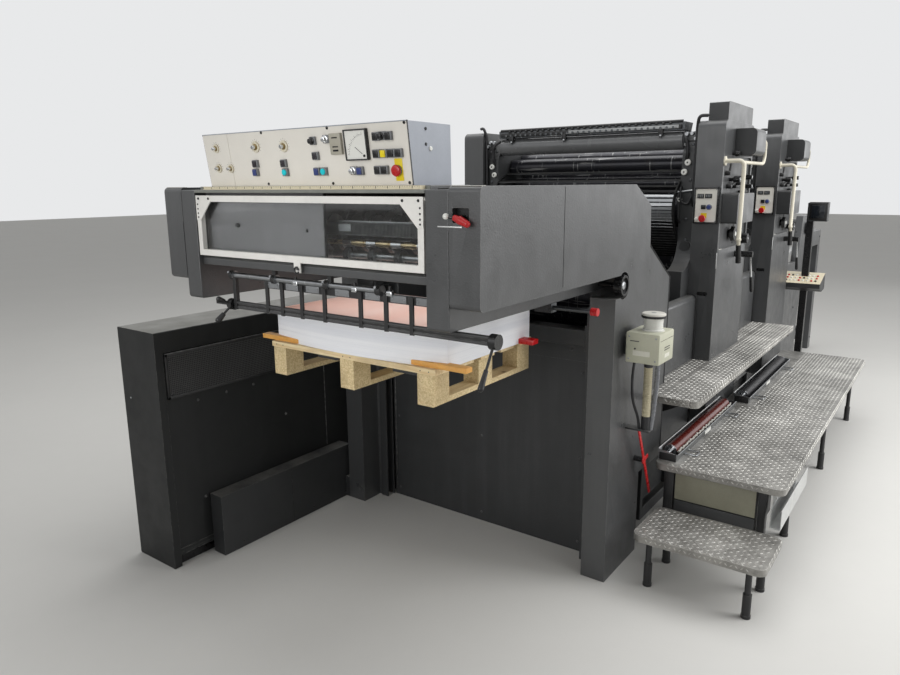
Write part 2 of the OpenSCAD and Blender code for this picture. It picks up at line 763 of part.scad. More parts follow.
// Everything on the console's face is placed in its own plane: u across, v up
module on_face() {
  translate([0, console_y0 + face_t + console_lean, console_z0])
    rotate([console_angle, 0, 0]) rotate([90, 0, 0]) translate([0, face_lift, 0]) children();
}
face_h = console_h / cos(console_angle);
face_lift = face_t * tan(console_angle) + fit;
module console_panel() {
  color("#dddcd4") on_face() difference() {
    linear_extrude(face_t) round_rect(-console_w / 2, 0, console_w / 2, face_h - 2, 6);
    translate([-console_w / 2 + 146, -1, face_t - 1.5]) cube([2, face_h + 2, 3]);
  }
}

// Knobs, push buttons, meter, counter and stop button on the console's face
ring_knobs = [[-437, 143, 30], [-441, 69, 30], [-369, 67, 30], [-206, 141, 38], [-55, 138, 38]];
round_knobs = [[95, 151], [160, 154], [268, 49], [406, 154]];
buttons = [
  [-218, 82], [-224, 51], [-65, 80], [-63, 49], [101, 101], [98, 49], [131, 49], [298, 48],
  [382, 153], [434, 153], [377, 100], [408, 100], [440, 100], [469, 100], [375, 49], [404, 49]
];
button_w = 24;
button_out = 14;
meter_u = 295;
meter_v = 131;
meter_w = 98;
meter_edge = 6;
counter_u0 = 180;
counter_v0 = 103;
counter_w = 52;
counter_h = 68;
stop_u = 452;
stop_v = 47;
module meter_frame() {
  linear_extrude(16) translate([meter_u - meter_w / 2, meter_v - meter_w / 2]) difference() {
    round_rect(0, 0, meter_w, meter_w, 5);
    round_rect(meter_edge, meter_edge, meter_w - meter_edge, meter_w - meter_edge, 3);
  }
}
module console_controls() {
  color(black) on_face() translate([0, 0, face_t]) {
    for (k = ring_knobs) translate([k[0], k[1], 0]) {
      cylinder(h = 5, d = k[2]);
      translate([0, 0, 4]) cylinder(h = 15, d1 = k[2] * 0.6, d2 = k[2] * 0.5);
    }
    for (k = round_knobs) translate([k[0], k[1], 0]) {
      cylinder(h = 8, d = 25);
      translate([0, 0, 7]) cylinder(h = 14, d1 = 18, d2 = 16);
    }
    for (b = buttons) translate([b[0] - button_w / 2, b[1] - button_w / 2, 0])
      cube([button_w, button_w, button_out]);
    translate([counter_u0, counter_v0, 0]) cube([counter_w, counter_h, 12]);
    meter_frame();
    translate([stop_u, stop_v, 0]) cylinder(h = 12, d = 26);
    translate([stop_u, stop_v, 12]) cylinder(h = 14, d1 = 38, d2 = 32);
  }
}

// Hinged front guard: an aluminium edge profile with corner gussets
guard_half = arm_x0 - 7;
guard_y0 = delivery_y + 2;
guard_y1 = guard_y0 + guard_t;
gusset_w = 92;
gusset_h = 96;
latch_x0 = -20;
latch_x1 = 14;
latch_drop = 36;
hinge_d = 10;
hinge_z = guard_top - 8;
module guard_outline(in) {
  translate([-guard_half + in, guard_bottom + in])
    square([2 * (guard_half - in), guard_top - guard_bottom - 2 * in]);
}
module front_guard_frame() {
  color(bright) {
    front_view(guard_y0, guard_y1) {
      difference() {
        guard_outline(0);
        guard_outline(guard_rim);
      }
    }
    both_sides() front_view(delivery_y, guard_y0 + 3) polygon([
      [guard_half, guard_top], [guard_half - gusset_w, guard_top], [guard_half - gusset_w, guard_top - guard_rim],
      [guard_half - guard_rim, guard_top - gusset_h], [guard_half, guard_top - gusset_h]
    ]);
    difference() {
      block([latch_x0, delivery_y, guard_bottom - latch_drop], [latch_x1, guard_y0 + 3, guard_bottom + 10]);
      translate([(latch_x0 + latch_x1) / 2, 0, guard_bottom - 20]) bar_y([0, delivery_y - 1, 0], 10, 15);
    }
    both_sides() bar_x([guard_half - 1, guard_y0 + guard_t / 2, hinge_z], 8 - fit, hinge_d);
  }
}
module front_guard_pane() {
  color([0.75, 0.8, 0.85, 0.4]) block(
    [-guard_half + 8, guard_y1, guard_bottom + 8],
    [guard_half - 8, guard_y1 + pane_t, guard_top - 14]
  );
}

// Inside the delivery: cross shafts with sheet wheels and brake rollers
shaft_rows = [
  [150, 1514, 56], [260, 1560, 90], [430, 1600, 90], [600, 1560, 90],
  [780, 1600, 90], [960, 1560, 90], [1120, 1600, 90]
];
shaft_d = 24;
disc_t = 26;
blower_y = delivery_y + 120;
blower_z0 = 1585;
blower_z1 = 1634;
gripper_z = 1560;
module delivery_rollers() {
  color(bright) {
    for (s = shaft_rows) translate([0, delivery_y + s[0], s[1]]) {
      bar_x([-arm_x0, 0, 0], 2 * arm_x0, shaft_d);
      for (i = [-4 : 4]) bar_x([i * 120 - disc_t / 2, 0, 0], disc_t, s[2]);
    }
    block([-arm_x0, blower_y, blower_z0], [arm_x0, blower_y + 14, blower_z1]);
    bar_x([-arm_x0, blower_y + 10, gripper_z], 2 * arm_x0, 18);
  }
}

// Front stops of the pile: a shaft hung from the apron, a cross bar with seven
// stop straps and a double rail
stop_y = delivery_y + 60;
stop_xs = [-241, -156, -48, 72, 249, 366, 477];
stop_z0 = post_bottom - 38;
stop_z1 = stop_z0 + 128;
stop_rails = [stop_z0 + 8, stop_z0 + 28];
stop_bar_z0 = stop_z1 - 28;
stop_bar_x0 = -260;
shaft_x0 = -450;
shaft_x1 = 346;
hanger_xs = [-195, 103];
clamp_xs = [shaft_x0 + 2, -196, 88, 336];
rail_out_x = 205;
module pile_stop_grille() {
  color(black) {
    bar_x([shaft_x0, stop_y, stop_z1 + 10], shaft_x1 - shaft_x0, 22);
    for (x = clamp_xs) bar_x([x - 11, stop_y, stop_z1 + 10], 22, 36);
    for (x = hanger_xs) block([x - 9, stop_y - 7, stop_z1 + 10], [x + 9, stop_y + 7, apron_z0]);
    block([stop_bar_x0, stop_y - 1, stop_bar_z0], [arm_x0, stop_y + 7, stop_z1 + 2]);
    for (z = stop_rails) bar_x([shaft_x0, stop_y, z], arm_x0 + rail_out_x - shaft_x0, 13);
    for (x = stop_xs) block([x - 8, stop_y - 8, stop_z0], [x + 8, stop_y, stop_z1 - 2]);
    block([shaft_x0 + 4, stop_y - 8, stop_z0], [shaft_x0 + 22, stop_y + 8, stop_z1 + 10]);
  }
}

// Levers: ball lever and gripped lever at the ends of the stop rail, the
// adjusting rod with its red knob, and the red lever in the cover's recess
rod_y = delivery_y + 700;
rod_z = 1290;
module hand_lever(p, turn, len, d) {
  translate(p) rotate(turn) {
    cylinder(h = len, d = 9);
    translate([0, 0, len * 0.6]) cylinder(h = len * 0.4, d1 = d * 0.7, d2 = d);
    translate([0, 0, len]) sphere(d = d);
  }
}
module delivery_levers() {
  color(black) {
    bar_x([arm_x0 + rail_out_x + fit, stop_y, stop_z0 + 17], 26, 50);
    hand_lever([arm_x0 + rail_out_x + 13, stop_y - 4, stop_z0 + 17], [150, 0, 0], 150, 20);
    bar_x([shaft_x0 - 26 - fit, stop_y, stop_z0 + 18], 26, 46);
    hand_lever([shaft_x0 - 13, stop_y - 4, stop_z0 + 18], [140, 22, 0], 84, 26);
    hand_lever([shaft_x0 - 13, stop_y - 4, stop_z0 + 18], [62, -22, 0], 62, 22);
    block([arm_x0 + 8, rod_y - 22, rod_z - 18], [arm_x1 - 8, rod_y + 22, post_bottom]);
    bar_x([arm_x0, rod_y, rod_z], arm_t + 150, 18);
    bar_x([arm_x1 + 150, rod_y, rod_z], 26, 30);
  }
}

// Handwheel at the arch of the operator side cover
module handwheel() {
  color(black) translate([cover_x1, wheel_y, wheel_z]) difference() {
    union() {
      bar_x([-wheel_w + 6, 0, 0], wheel_w, wheel_d);
      bar_x([-cover_t + fit, 0, 0], cover_t - 4, 20);
    }
    bar_x([-4, 0, 0], 12, wheel_d - 20);
  }
}

// Pile carrier: a carriage in the guide channels with two forks
carriage_y0 = channel_y0 + 8;
carriage_y1 = channel_y1 - 8;
fork_z0 = pallet_z + board_t + block_h - fork_h;
fork_w = 120;
fork_y0 = delivery_y + 330;
module pile_carrier() {
  color(dark_paint) {
    front_view(carriage_y0 + 4, carriage_y1 - 4) translate([-channel_x0 + 12, fork_z0])
      square([2 * channel_x0 - 24, fork_h + 34]);
    both_sides() {
      front_view(channel_y0 + channel_t + fit, channel_y1 - channel_t - fit)
        translate([channel_x0 - 14, fork_z0 - 20]) square([channel_w - channel_t + 12, 120]);
      block([150, fork_y0, fork_z0], [150 + fork_w, carriage_y0 + 5, fork_z0 + fork_h]);
    }
  }
}

// Pallet: deck boards on three skids
pallet_y0 = delivery_y + 250;
pile_x = -22;
deck_z0 = pallet_z + board_t + block_h;
pallet_blocks_z = pallet_z + board_t;
module pallet_deck() {
  color(timber) translate([pile_x, 0, 0]) {
    for (i = [0 : 4]) {
      y = pallet_y0 + i * (pallet_d - 100) / 4;
      block([-pallet_w / 2, y, deck_z0], [pallet_w / 2, y + 100, deck_z0 + board_t]);
    }
  }
}
module pallet_skids() {
  color(timber) translate([pile_x, 0, 0]) for (x = [-pallet_w / 2 + 10, -block_w / 2, pallet_w / 2 - block_w - 10]) {
    block([x, pallet_y0, pallet_z], [x + block_w, pallet_y0 + pallet_d, pallet_z + board_t]);
    for (y = [pallet_y0, pallet_y0 + pallet_d / 2 - 50, pallet_y0 + pallet_d - 100])
      block([x, y, pallet_z], [x + block_w, y + 100, deck_z0]);
  }
}

// Paper pile: the front bulges in a shallow arc
paper_y0 = pallet_y0 + pile_bulge;
bulge_r = (pow(pile_w / 2, 2) + pow(pile_bulge, 2)) / (2 * pile_bulge);
bulge_a = asin(pile_w / 2 / bulge_r);
module paper_pile() {
  color("#f2f0ee") translate([pile_x + 9, 0, 0]) plan_view(deck_z0 + board_t, deck_z0 + board_t + pile_h) polygon(concat(
    arc(0, paper_y0 - pile_bulge + bulge_r, bulge_r, -90 - bulge_a, -90 + bulge_a, 24),
    [[pile_w / 2, paper_y0 + pile_d - pile_bulge], [-pile_w / 2, paper_y0 + pile_d - pile_bulge]]
  ));
}

// Cabinet on the drive side of the delivery
cabinet_x1 = -cover_x1 - cabinet_gap;
cabinet_x0 = cabinet_x1 - cabinet_w;
cabinet_y0 = delivery_y - 50;
cabinet_y1 = cabinet_y0 + cabinet_len;
plinth_h = 58;
plinth_in = 30;
module drive_cabinet() {
  color(paint) difference() {
    front_view(cabinet_y0, cabinet_y1)
      round_rect(cabinet_x0, 0, cabinet_x1, cabinet_h, 6);
    block([cabinet_x1 - 6, cabinet_y0 + 40, plinth_h + 30], [cabinet_x1 + 1, cabinet_y1 - 40, grille_z1 + 8]);
    block([cabinet_x1 - plinth_in, cabinet_y0 + 40, -1], [cabinet_x1 + 1, cabinet_y1 - 40, plinth_h]);
  }
}
duct_h = 305;
duct_t = 84;
grille_z0 = 820;
grille_z1 = 1030;
slot_pitch = 60;
module cabinet_cover_plates() {
  color(black) {
    difference() {
      block([cabinet_x1 - 6, cabinet_y0 + 47, grille_z0], [cabinet_x1 + 2, cabinet_y0 + cabinet_len - 60, grille_z1]);
      for (y = [cabinet_y0 + 110 : slot_pitch : cabinet_y0 + cabinet_len - 120])
        block([cabinet_x1 - 2, y, grille_z0 + 25], [cabinet_x1 + 3, y + 30, grille_z1 - 25]);
    }
    block([cabinet_x1, cabinet_y0 + 220, 0], [cabinet_x1 + duct_t, cabinet_y0 + 1100, duct_h]);
    block([cabinet_x1 + duct_t - 1, column_y0, 0], [-cover_x1, column_y0 + 38, 120]);
  }
}

// Chequer-plate platform: a sheet with turned-down edges and round corners
module tray_plate(x0, y0, x1, y1, z1, r) {
  difference() {
    plan_view(z1 - lip_h, z1) round_rect(x0, y0, x1, y1, r);
    plan_view(z1 - lip_h - 1, z1 - plate_t)
      round_rect(x0 + plate_t, y0 + plate_t, x1 - plate_t, y1 - plate_t, r - plate_t);
  }
}
platform_x0 = tower_x1 + fit;
platform_x1 = platform_x0 + platform_w;
platform_y0 = column_y1 + 55;
platform_y1 = platform_y0 + platform_len;
module lower_platform() {
  color(bright) tray_plate(platform_x0, platform_y0, platform_x1, platform_y1, platform_h, corner_r);
}
walk_x0 = tower_x1;
walk_x1 = walk_x0 + walk_w;
walk_y0 = platform_y0;
walk_y1 = walk_y0 + walk_len;
// Beside the towers the plate reaches in to the bed covers
walk_bays = [
  [bed_y0 + skirt_gap, unit_ys[0] - tower_half - skirt_gap],
  [unit_ys[0] + tower_half + skirt_gap, unit_ys[1] - tower_half - skirt_gap]
];
module walk_plan(in) {
  round_rect(walk_x0 + in, walk_y0 + in, walk_x1 - in, walk_y1 - in, 30 - in);
  for (bay = walk_bays)
    translate([skirt_x1 + fit + in, bay[0] + in]) square([walk_w / 2, bay[1] - bay[0] - 2 * in]);
  translate([slope_x1 + fit + in, walk_y0 + in]) square([walk_w / 2, walk_bays[0][0] - walk_y0 + plate_t]);
}
module upper_platform() {
  color(bright) difference() {
    plan_view(walk_h - lip_h, walk_h) walk_plan(0);
    plan_view(walk_h - lip_h - 1, walk_h - plate_t) walk_plan(plate_t);
  }
}

// Legs with adjustable feet
module leg(x, y, top) {
  bar_z([x, y, 0], 14, foot_d + 4);
  bar_z([x, y, 13], min(95, top * 0.45), foot_d);
  bar_z([x, y, 50], top - 50, leg_d);
}
rail_h = 45;
stand_inset = 70;
// Bracket under the upper platform, bolted to the bed covers
bracket_h = 150;
bracket_ys = [
  bed_y0 + 100, unit_ys[0] - tower_half - 150, unit_ys[0] + tower_half + 150, unit_ys[1] - tower_half - 150
];
module walk_bracket(y) {
  front_view(y - 12, y + 12) polygon([
    [skirt_x1, walk_h - lip_h], [walk_x1 - 6, walk_h - lip_h], [walk_x1 - 6, walk_h - lip_h - 14],
    [skirt_x1 + 14, walk_h - lip_h - bracket_h], [skirt_x1, walk_h - lip_h - bracket_h]
  ]);
}
stand_ys = [platform_y0 + 515, platform_y0 + 1575, platform_y1 - 150];
stand_z = platform_h - plate_t - rail_h;
stand_xs = [platform_x0 + 50, platform_x1 - stand_inset];
rail_half = 20;
module platform_stands() {
  color(black) {
    for (x = stand_xs) {
      for (y = stand_ys) leg(x, y, stand_z - fit);
      block([x - rail_half, platform_y0 + 60, stand_z], [x + rail_half, platform_y1 - 60, platform_h - plate_t]);
    }
    for (y = concat(stand_ys, [platform_y0 + 85, platform_y0 + 345]))
      block([stand_xs[0] + rail_half + fit, y - 18, stand_z], [stand_xs[1] - rail_half - fit, y + 18, stand_z + 32]);
    block([platform_x0 + 90, platform_y0 + 55, 180], [platform_x1 - 120, platform_y0 + 375, stand_z - fit]);
    for (y = bracket_ys) walk_bracket(y);
  }
}

// Shallow channel for cables, hung under the outer edge of the lower platform
cable_tray_y0 = platform_y0 - 25;
cable_tray_len = 600;
cable_tray_h = 95;
cable_tray_w = 46;
cable_tray_z0 = 275;
module cable_tray() {
  color(bright) {
    front_view(cable_tray_y0, cable_tray_y0 + cable_tray_len)
      translate([platform_x1 - cable_tray_w, cable_tray_z0]) difference() {
        square([cable_tray_w, cable_tray_h]);
        translate([3, 3]) square([cable_tray_w - 6, cable_tray_h]);
      }
    for (y = [cable_tray_y0 + 110, cable_tray_y0 + 420])
      block([platform_x1 - cable_tray_w - 14, y, cable_tray_z0 + 30],
            [platform_x1 - cable_tray_w + 1, y + 34, stand_z]);
  }
}

// Step stool
stool_x0 = platform_x0 + 45;
stool_y0 = delivery_y + 1060;
module step_stool() {
  color(bright) tray_plate(stool_x0, stool_y0, stool_x0 + stool_w, stool_y0 + stool_d, stool_h, corner_r);
  color(black) for (x = [stool_x0 + 70, stool_x0 + stool_w - 70], y = [stool_y0 + 45, stool_y0 + stool_d - 45])
    leg(x, y, stool_h - plate_t - fit);
}

// Ink roller trays on the platform, each with a spare roller lying in it
tray_w = 84;
tray_h = 55;
// Each tray: distance from the platform's inner edge, start and length
trays = [[7, platform_y0 + 50, 1045], [55, platform_y0 + 1215, 1180]];
tray_t = 4;
spare_d = 60;
module roller_tray(y0, len) {
  difference() {
    front_view(y0, y0 + len) translate([0, platform_h]) polygon([
      [0, 0], [tray_w, 0], [tray_w + 8, tray_h * 0.7], [-6, tray_h]
    ]);
    front_view(y0 + tray_t, y0 + len - tray_t) translate([0, platform_h]) polygon([
      [tray_t, tray_t], [tray_w - tray_t, tray_t], [tray_w + 8, tray_h], [-6 + tray_t, tray_h + 1]
    ]);
  }
}
module spare_roller(y0, len) {
  bar_y([tray_t + spare_d / 2 + 3, y0 + 60, platform_h + tray_t + spare_d / 2], len - 120, spare_d);
  bar_y([tray_t + spare_d / 2 + 3, y0 + tray_t, platform_h + tray_t + spare_d / 2], len - 2 * tray_t, 20);
}
module roller_trays() {
  color("#9a9da0") for (t = trays) translate([platform_x0 + t[0], 0, 0]) roller_tray(t[1], t[2]);
}
module spare_rollers() {
  color("#6d1f1b") for (t = trays) translate([platform_x0 + t[0], 0, 0]) spare_roller(t[1], t[2]);
}

// Junction box on the column, with a sight cup above and a conduit below
jbox_y0 = delivery_y + 1090;
jbox_out = 19;
jbox_w = 148;
jbox_z0 = 1013;
jbox_h = 133;
jbox_len = 175;
// The box stands off the column on a bracket; the conduit ends at a ledge
jbox_x0 = cover_x1 + jbox_out;
conduit_d = 30;
conduit_x = jbox_x0 + 65;
conduit_y = jbox_y0 + 113;
conduit_z0 = 690;
module junction_box() {
  color("#b4b7a8") {
    side_view(jbox_x0, jbox_x0 + jbox_w) round_rect(jbox_y0, jbox_z0, jbox_y0 + jbox_len, jbox_z0 + jbox_h, 8);
    block([cover_x1, jbox_y0 + 35, jbox_z0 + 25], [jbox_x0 + 1, jbox_y0 + jbox_len - 35, jbox_z0 + jbox_h - 25]);
    bar_z([jbox_x0 + 86, jbox_y0 + 85, jbox_z0 + jbox_h - 1], 61, 94);
    bar_z([jbox_x0 + 86, jbox_y0 + 85, jbox_z0 + jbox_h + 59], 17, 103);
    bar_z([conduit_x, conduit_y, jbox_z0 - 42], 43, 44);
    bar_z([conduit_x, conduit_y, conduit_z0], jbox_z0 - 42 - conduit_z0 + 1, conduit_d);
    bar_z([conduit_x, conduit_y, conduit_z0], 58, 40);
    block([cover_x1, conduit_y - 24, conduit_z0 - 8], [conduit_x + 26, conduit_y + 24, conduit_z0]);
  }
}

// Valve on the column with a flat three-armed handle
valve_y = delivery_y + 1312;
valve_z = 499;
valve_out = 44;
valve_lean = 26;
valve_arm_w = 18;
module valve_handle() {
  color("#b3161c") {
    bar_x([cover_x1, valve_y, valve_z], valve_out, 26);
    side_view(cover_x1 + valve_out - 1, cover_x1 + valve_out + 5) translate([valve_y, valve_z]) {
      circle(d = 40);
      rotate(valve_lean) translate([-valve_arm_w / 2, -215]) square([valve_arm_w, 405]);
      rotate(-80) translate([-valve_arm_w / 2, 0]) square([valve_arm_w, 48]);
    }
  }
}

// Feeder: side frames, feed board, suction head and pile table
feed_y0 = bed_y1;
feed_y1 = feed_y0 + feed_len;
feeder_y1 = feed_y1 + feeder_len;
feeder_x1 = tower_x0 - 20;
feeder_x0 = feeder_x1 - feeder_t;
module feeder_outline() {
  polygon([
    [feed_y0, 0], [feed_y0, feed_h + 60], [feed_y1 - 150, feeder_h - 420],
    [feed_y1 - 60, feeder_h], [feed_y1 + 250, feeder_h], [feed_y1 + 330, feeder_h - 180],
    [feeder_y1, feeder_h - 180], [feeder_y1, 0], [feeder_y1 - 120, 0],
    [feeder_y1 - 120, feeder_h - 330], [feed_y1 + 150, feeder_h - 330], [feed_y1 + 60, 0]
  ]);
}
module feeder_frame() {
  color(paint) {
    both_sides() side_view(feeder_x0, feeder_x1) feeder_outline();
    bar_x([-feeder_x0 - 1, feeder_y1 - 60, 200], 2 * feeder_x0 + 2, 60);
    bar_x([-feeder_x0 - 1, feed_y0 + 300, 200], 2 * feeder_x0 + 2, 60);
  }
}
module feed_board() {
  color(bright) side_view(-feeder_x0, feeder_x0) polygon([
    [feed_y0 + 2, feed_h], [feed_y0 + 2, feed_h + 24], [feed_y1, feeder_h - 300],
    [feed_y1 + 40, feeder_h - 300], [feed_y1 + 40, feeder_h - 330], [feed_y1, feeder_h - 330]
  ]);
}
module feeder_head() {
  color(dark_paint) {
    bar_x([-feeder_x0, feed_y1 + 90, feeder_h - 70], 2 * feeder_x0, 50);
    bar_x([-feeder_x0, feed_y1 + 210, feeder_h - 70], 2 * feeder_x0, 50);
    side_view(-160, 160) round_rect(feed_y1 + 50, feeder_h - 150, feed_y1 + 300, feeder_h + 60, 20);
    for (x = [-120, -40, 40, 120]) bar_z([x, feed_y1 + 250, feeder_h - 250], 110, 22);
  }
}
module feeder_pile_table() {
  color(dark_paint) {
    block([-feeder_x0 + 20, feed_y1 + 170, 150], [feeder_x0 - 20, feeder_y1 - 130, 190]);
    for (x = [-400, 0, 400]) block([x - 40, feed_y1 + 170, 0], [x + 40, feeder_y1 - 130, 151]);
    both_sides() block([feeder_x0 - 21, feeder_y1 - 160, 140], [feeder_x0, feeder_y1 - 95, 200]);
  }
}

// Feeder control desk on a post, with a small screen box
desk_y = unit_ys[1] + tower_half + 300;
desk_x0 = skirt_x1 + fit;
desk_x1 = 1050;
post_x = 915;
module feeder_desk() {
  color(paint) {
    block([post_x - 25, desk_y - 25, 0], [post_x + 25, desk_y + 25, 1600]);
    block([post_x - 90, desk_y - 90, 0], [post_x + 90, desk_y + 90, 14]);
    side_view(desk_x0, desk_x1) polygon([
      [desk_y - 160, 950], [desk_y - 160, 985], [desk_y + 60, 1050], [desk_y + 60, 925], [desk_y - 60, 915]
    ]);
    block([post_x - 10, desk_y - 60, 1460], [post_x + 122, desk_y + 24, 1606]);
  }
}

machine_bed();
unit_side_frames();
bed_side_covers();
unit_1_towers();
unit_2_towers();
tower_boxes();
tower_control_panels();
tower_knobs();
grab_rails();
unit_1_lever();
unit_2_lever();
unit_1_rollers();
unit_2_rollers();
ink_fountains();
slat_guards();
unit_guards();
delivery_side_frames();
delivery_side_covers();
delivery_back_panel();
delivery_guide_frame();
delivery_roof();
delivery_front_rail();
ruler_strip();
control_console();
console_panel();
console_controls();
front_guard_frame();
front_guard_pane();
delivery_rollers();
pile_stop_grille();
delivery_levers();
handwheel();
pile_carrier();
pallet_deck();
pallet_skids();
paper_pile();
drive_cabinet();
cabinet_cover_plates();
lower_platform();
platform_stands();
upper_platform();
cable_tray();
step_stool();
roller_trays();
spare_rollers();
junction_box();
valve_handle();
feeder_frame();
feed_board();
feeder_head();
feeder_pile_table();
feeder_desk();
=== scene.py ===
"""Looks of a sheet-fed offset printing press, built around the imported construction."""
import json
import math

import bmesh
import bpy
from mathutils import Matrix, Vector

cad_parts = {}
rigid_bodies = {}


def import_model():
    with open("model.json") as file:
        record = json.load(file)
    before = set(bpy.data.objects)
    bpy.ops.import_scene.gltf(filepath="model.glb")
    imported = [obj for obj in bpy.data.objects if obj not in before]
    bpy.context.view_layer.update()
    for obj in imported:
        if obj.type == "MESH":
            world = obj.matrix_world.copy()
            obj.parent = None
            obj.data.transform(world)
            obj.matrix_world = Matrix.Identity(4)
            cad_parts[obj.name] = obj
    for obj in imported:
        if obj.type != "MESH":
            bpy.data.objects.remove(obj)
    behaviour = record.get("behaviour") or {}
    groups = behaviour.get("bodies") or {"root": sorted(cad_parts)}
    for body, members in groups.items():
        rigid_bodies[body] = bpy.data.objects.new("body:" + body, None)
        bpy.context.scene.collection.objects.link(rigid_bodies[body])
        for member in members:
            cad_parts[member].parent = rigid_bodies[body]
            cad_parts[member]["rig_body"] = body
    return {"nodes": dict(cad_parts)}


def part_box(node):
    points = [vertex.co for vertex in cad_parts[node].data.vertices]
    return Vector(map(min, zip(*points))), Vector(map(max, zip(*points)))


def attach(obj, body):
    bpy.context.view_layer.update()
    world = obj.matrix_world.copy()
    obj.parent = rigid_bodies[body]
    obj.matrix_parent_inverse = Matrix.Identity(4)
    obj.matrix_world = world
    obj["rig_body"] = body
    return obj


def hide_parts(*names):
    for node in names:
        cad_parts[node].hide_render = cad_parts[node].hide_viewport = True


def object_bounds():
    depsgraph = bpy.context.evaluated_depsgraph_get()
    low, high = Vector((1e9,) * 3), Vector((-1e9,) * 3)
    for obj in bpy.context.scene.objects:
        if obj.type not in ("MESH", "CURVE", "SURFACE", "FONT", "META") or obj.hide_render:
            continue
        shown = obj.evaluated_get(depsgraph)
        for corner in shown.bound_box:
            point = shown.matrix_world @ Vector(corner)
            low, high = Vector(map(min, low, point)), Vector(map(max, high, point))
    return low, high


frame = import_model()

CAD_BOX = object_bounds()
scene = bpy.context.scene

# Camera of the photograph, in the press's own frame
EYE = (1.925, -4.945, 1.76)
HEADING, PITCH, ROLL = 36.06, 12.23, -0.40
LENS, SENSOR = 28.25, 36.0
# Where faces meet at more than this, the edge is sharp and gets rounded
EDGE_ANGLE = math.radians(35)


def at(x=0.0, y=0.0, z=0.0):
    return Matrix.Translation((x, y, z))


def turn(axis, degrees):
    return Matrix.Rotation(math.radians(degrees), 4, axis)


def towards(start, end):
    """Carries the Z axis at the origin onto the line from start to end."""
    start, end = Vector(start), Vector(end)
    return at(*start) @ (end - start).to_track_quat("Z", "Y").to_matrix().to_4x4()


def srgb(red, green, blue):
    """A colour as the eye sees it, 0 to 255, in the renderer's linear values."""
    parts = [c / 255 for c in (red, green, blue)]
    return tuple(c / 12.92 if c < 0.04045 else ((c + 0.055) / 1.055) ** 2.4 for c in parts) + (1.0,)


# Shader wiring

class Wiring:
    """Adds nodes to a tree; an input given as a socket is linked, anything else is set."""

    def __init__(self, tree):
        self.tree = tree

    def add(self, kind, inputs=None, **settings):
        node = self.tree.nodes.new("ShaderNode" + kind)
        for key, value in settings.items():
            setattr(node, key, value)
        for key, value in (inputs or {}).items():
            self.plug(node.inputs[key], value)
        return node

    def plug(self, socket, value):
        if isinstance(value, bpy.types.NodeSocket):
            self.tree.links.new(value, socket)
        else:
            socket.default_value = value

    def place(self):
        return self.add("TexCoord").outputs["Object"]

    def noise(self, scale, detail=3.0, stretch=None, rough=0.55):
        vector = self.place()
        if stretch:
            vector = self.add("Mapping", {"Vector": vector, "Scale": stretch}).outputs["Vector"]
        return self.add("TexNoise", {
            "Vector": vector, "Scale": scale, "Detail": detail, "Roughness": rough}).outputs["Fac"]

    def span(self, value, low, high, to_low=0.0, to_high=1.0):
        return self.add("MapRange", {
            "Value": value, "From Min": low, "From Max": high, "To Min": to_low, "To Max": to_high,
        }).outputs["Result"]

    def maths(self, kind, a, b):
        return self.add("Math", {0: a, 1: b}, operation=kind).outputs["Value"]

    def mix(self, factor, a, b, kind="MIX"):
        node = self.add("Mix", data_type="RGBA", blend_type=kind)
        for index, value in ((0, factor), (6, a), (7, b)):
            self.plug(node.inputs[index], value)
        return node.outputs[2]

    def group(self, name, **inputs):
        node = self.add("Group", node_tree=bpy.data.node_groups[name])
        for key, value in inputs.items():
            self.plug(node.inputs[key], value)
        return node.outputs[0]


def new_group(name, given, result, kind):
    """A shader node group with float or colour inputs and one output."""
    tree = bpy.data.node_groups.new(name, "ShaderNodeTree")
    for key, value in given.items():
        colour = isinstance(value, tuple)
        socket = tree.interface.new_socket(
            key, in_out="INPUT", socket_type="NodeSocketColor" if colour else "NodeSocketFloat")
        socket.default_value = value
    tree.interface.new_socket(result, in_out="OUTPUT", socket_type=kind)
    wires = Wiring(tree)
    entry = tree.nodes.new("NodeGroupInput")
    leave = tree.nodes.new("NodeGroupOutput")
    return wires, entry.outputs, leave.inputs[0]


def make_mottling():
    """Uneven depth of a colour, large patches and fine ones together."""
    w, given, out = new_group(
        "mottling", {"Colour": (0.5, 0.5, 0.5, 1.0), "Spread": 0.15, "Scale": 4.0}, "Colour", "NodeSocketColor")
    coarse = w.noise(given["Scale"], 4.0)
    fine = w.noise(w.maths("MULTIPLY", given["Scale"], 9.0), 2.0)
    both = w.maths("ADD", w.maths("MULTIPLY", coarse, 0.7), w.maths("MULTIPLY", fine, 0.3))
    shift = w.maths("MULTIPLY", w.maths("SUBTRACT", both, 0.5), w.maths("MULTIPLY", given["Spread"], 4.0))
    gain = w.maths("ADD", shift, 1.0)
    shade = w.add("CombineColor", {0: gain, 1: gain, 2: gain}).outputs[0]
    w.plug(out, w.mix(1.0, given["Colour"], shade, "MULTIPLY"))


def make_edge_wear():
    """Where paint has rubbed off: along sharp edges, broken up by noise."""
    w, given, out = new_group("edge wear", {"Width": 0.003, "Amount": 0.5}, "Mask", "NodeSocketFloat")
    rounded = w.add("Bevel", {"Radius": given["Width"]}, samples=4).outputs["Normal"]
    flat = w.add("NewGeometry").outputs["Normal"]
    alike = w.add("VectorMath", {0: rounded, 1: flat}, operation="DOT_PRODUCT").outputs["Value"]
    edge = w.span(alike, 0.995, 0.85)
    patches = w.span(w.noise(38.0, 5.0, rough=0.7), 0.42, 0.68)
    w.plug(out, w.maths("MULTIPLY", w.maths("MULTIPLY", edge, patches), given["Amount"]))


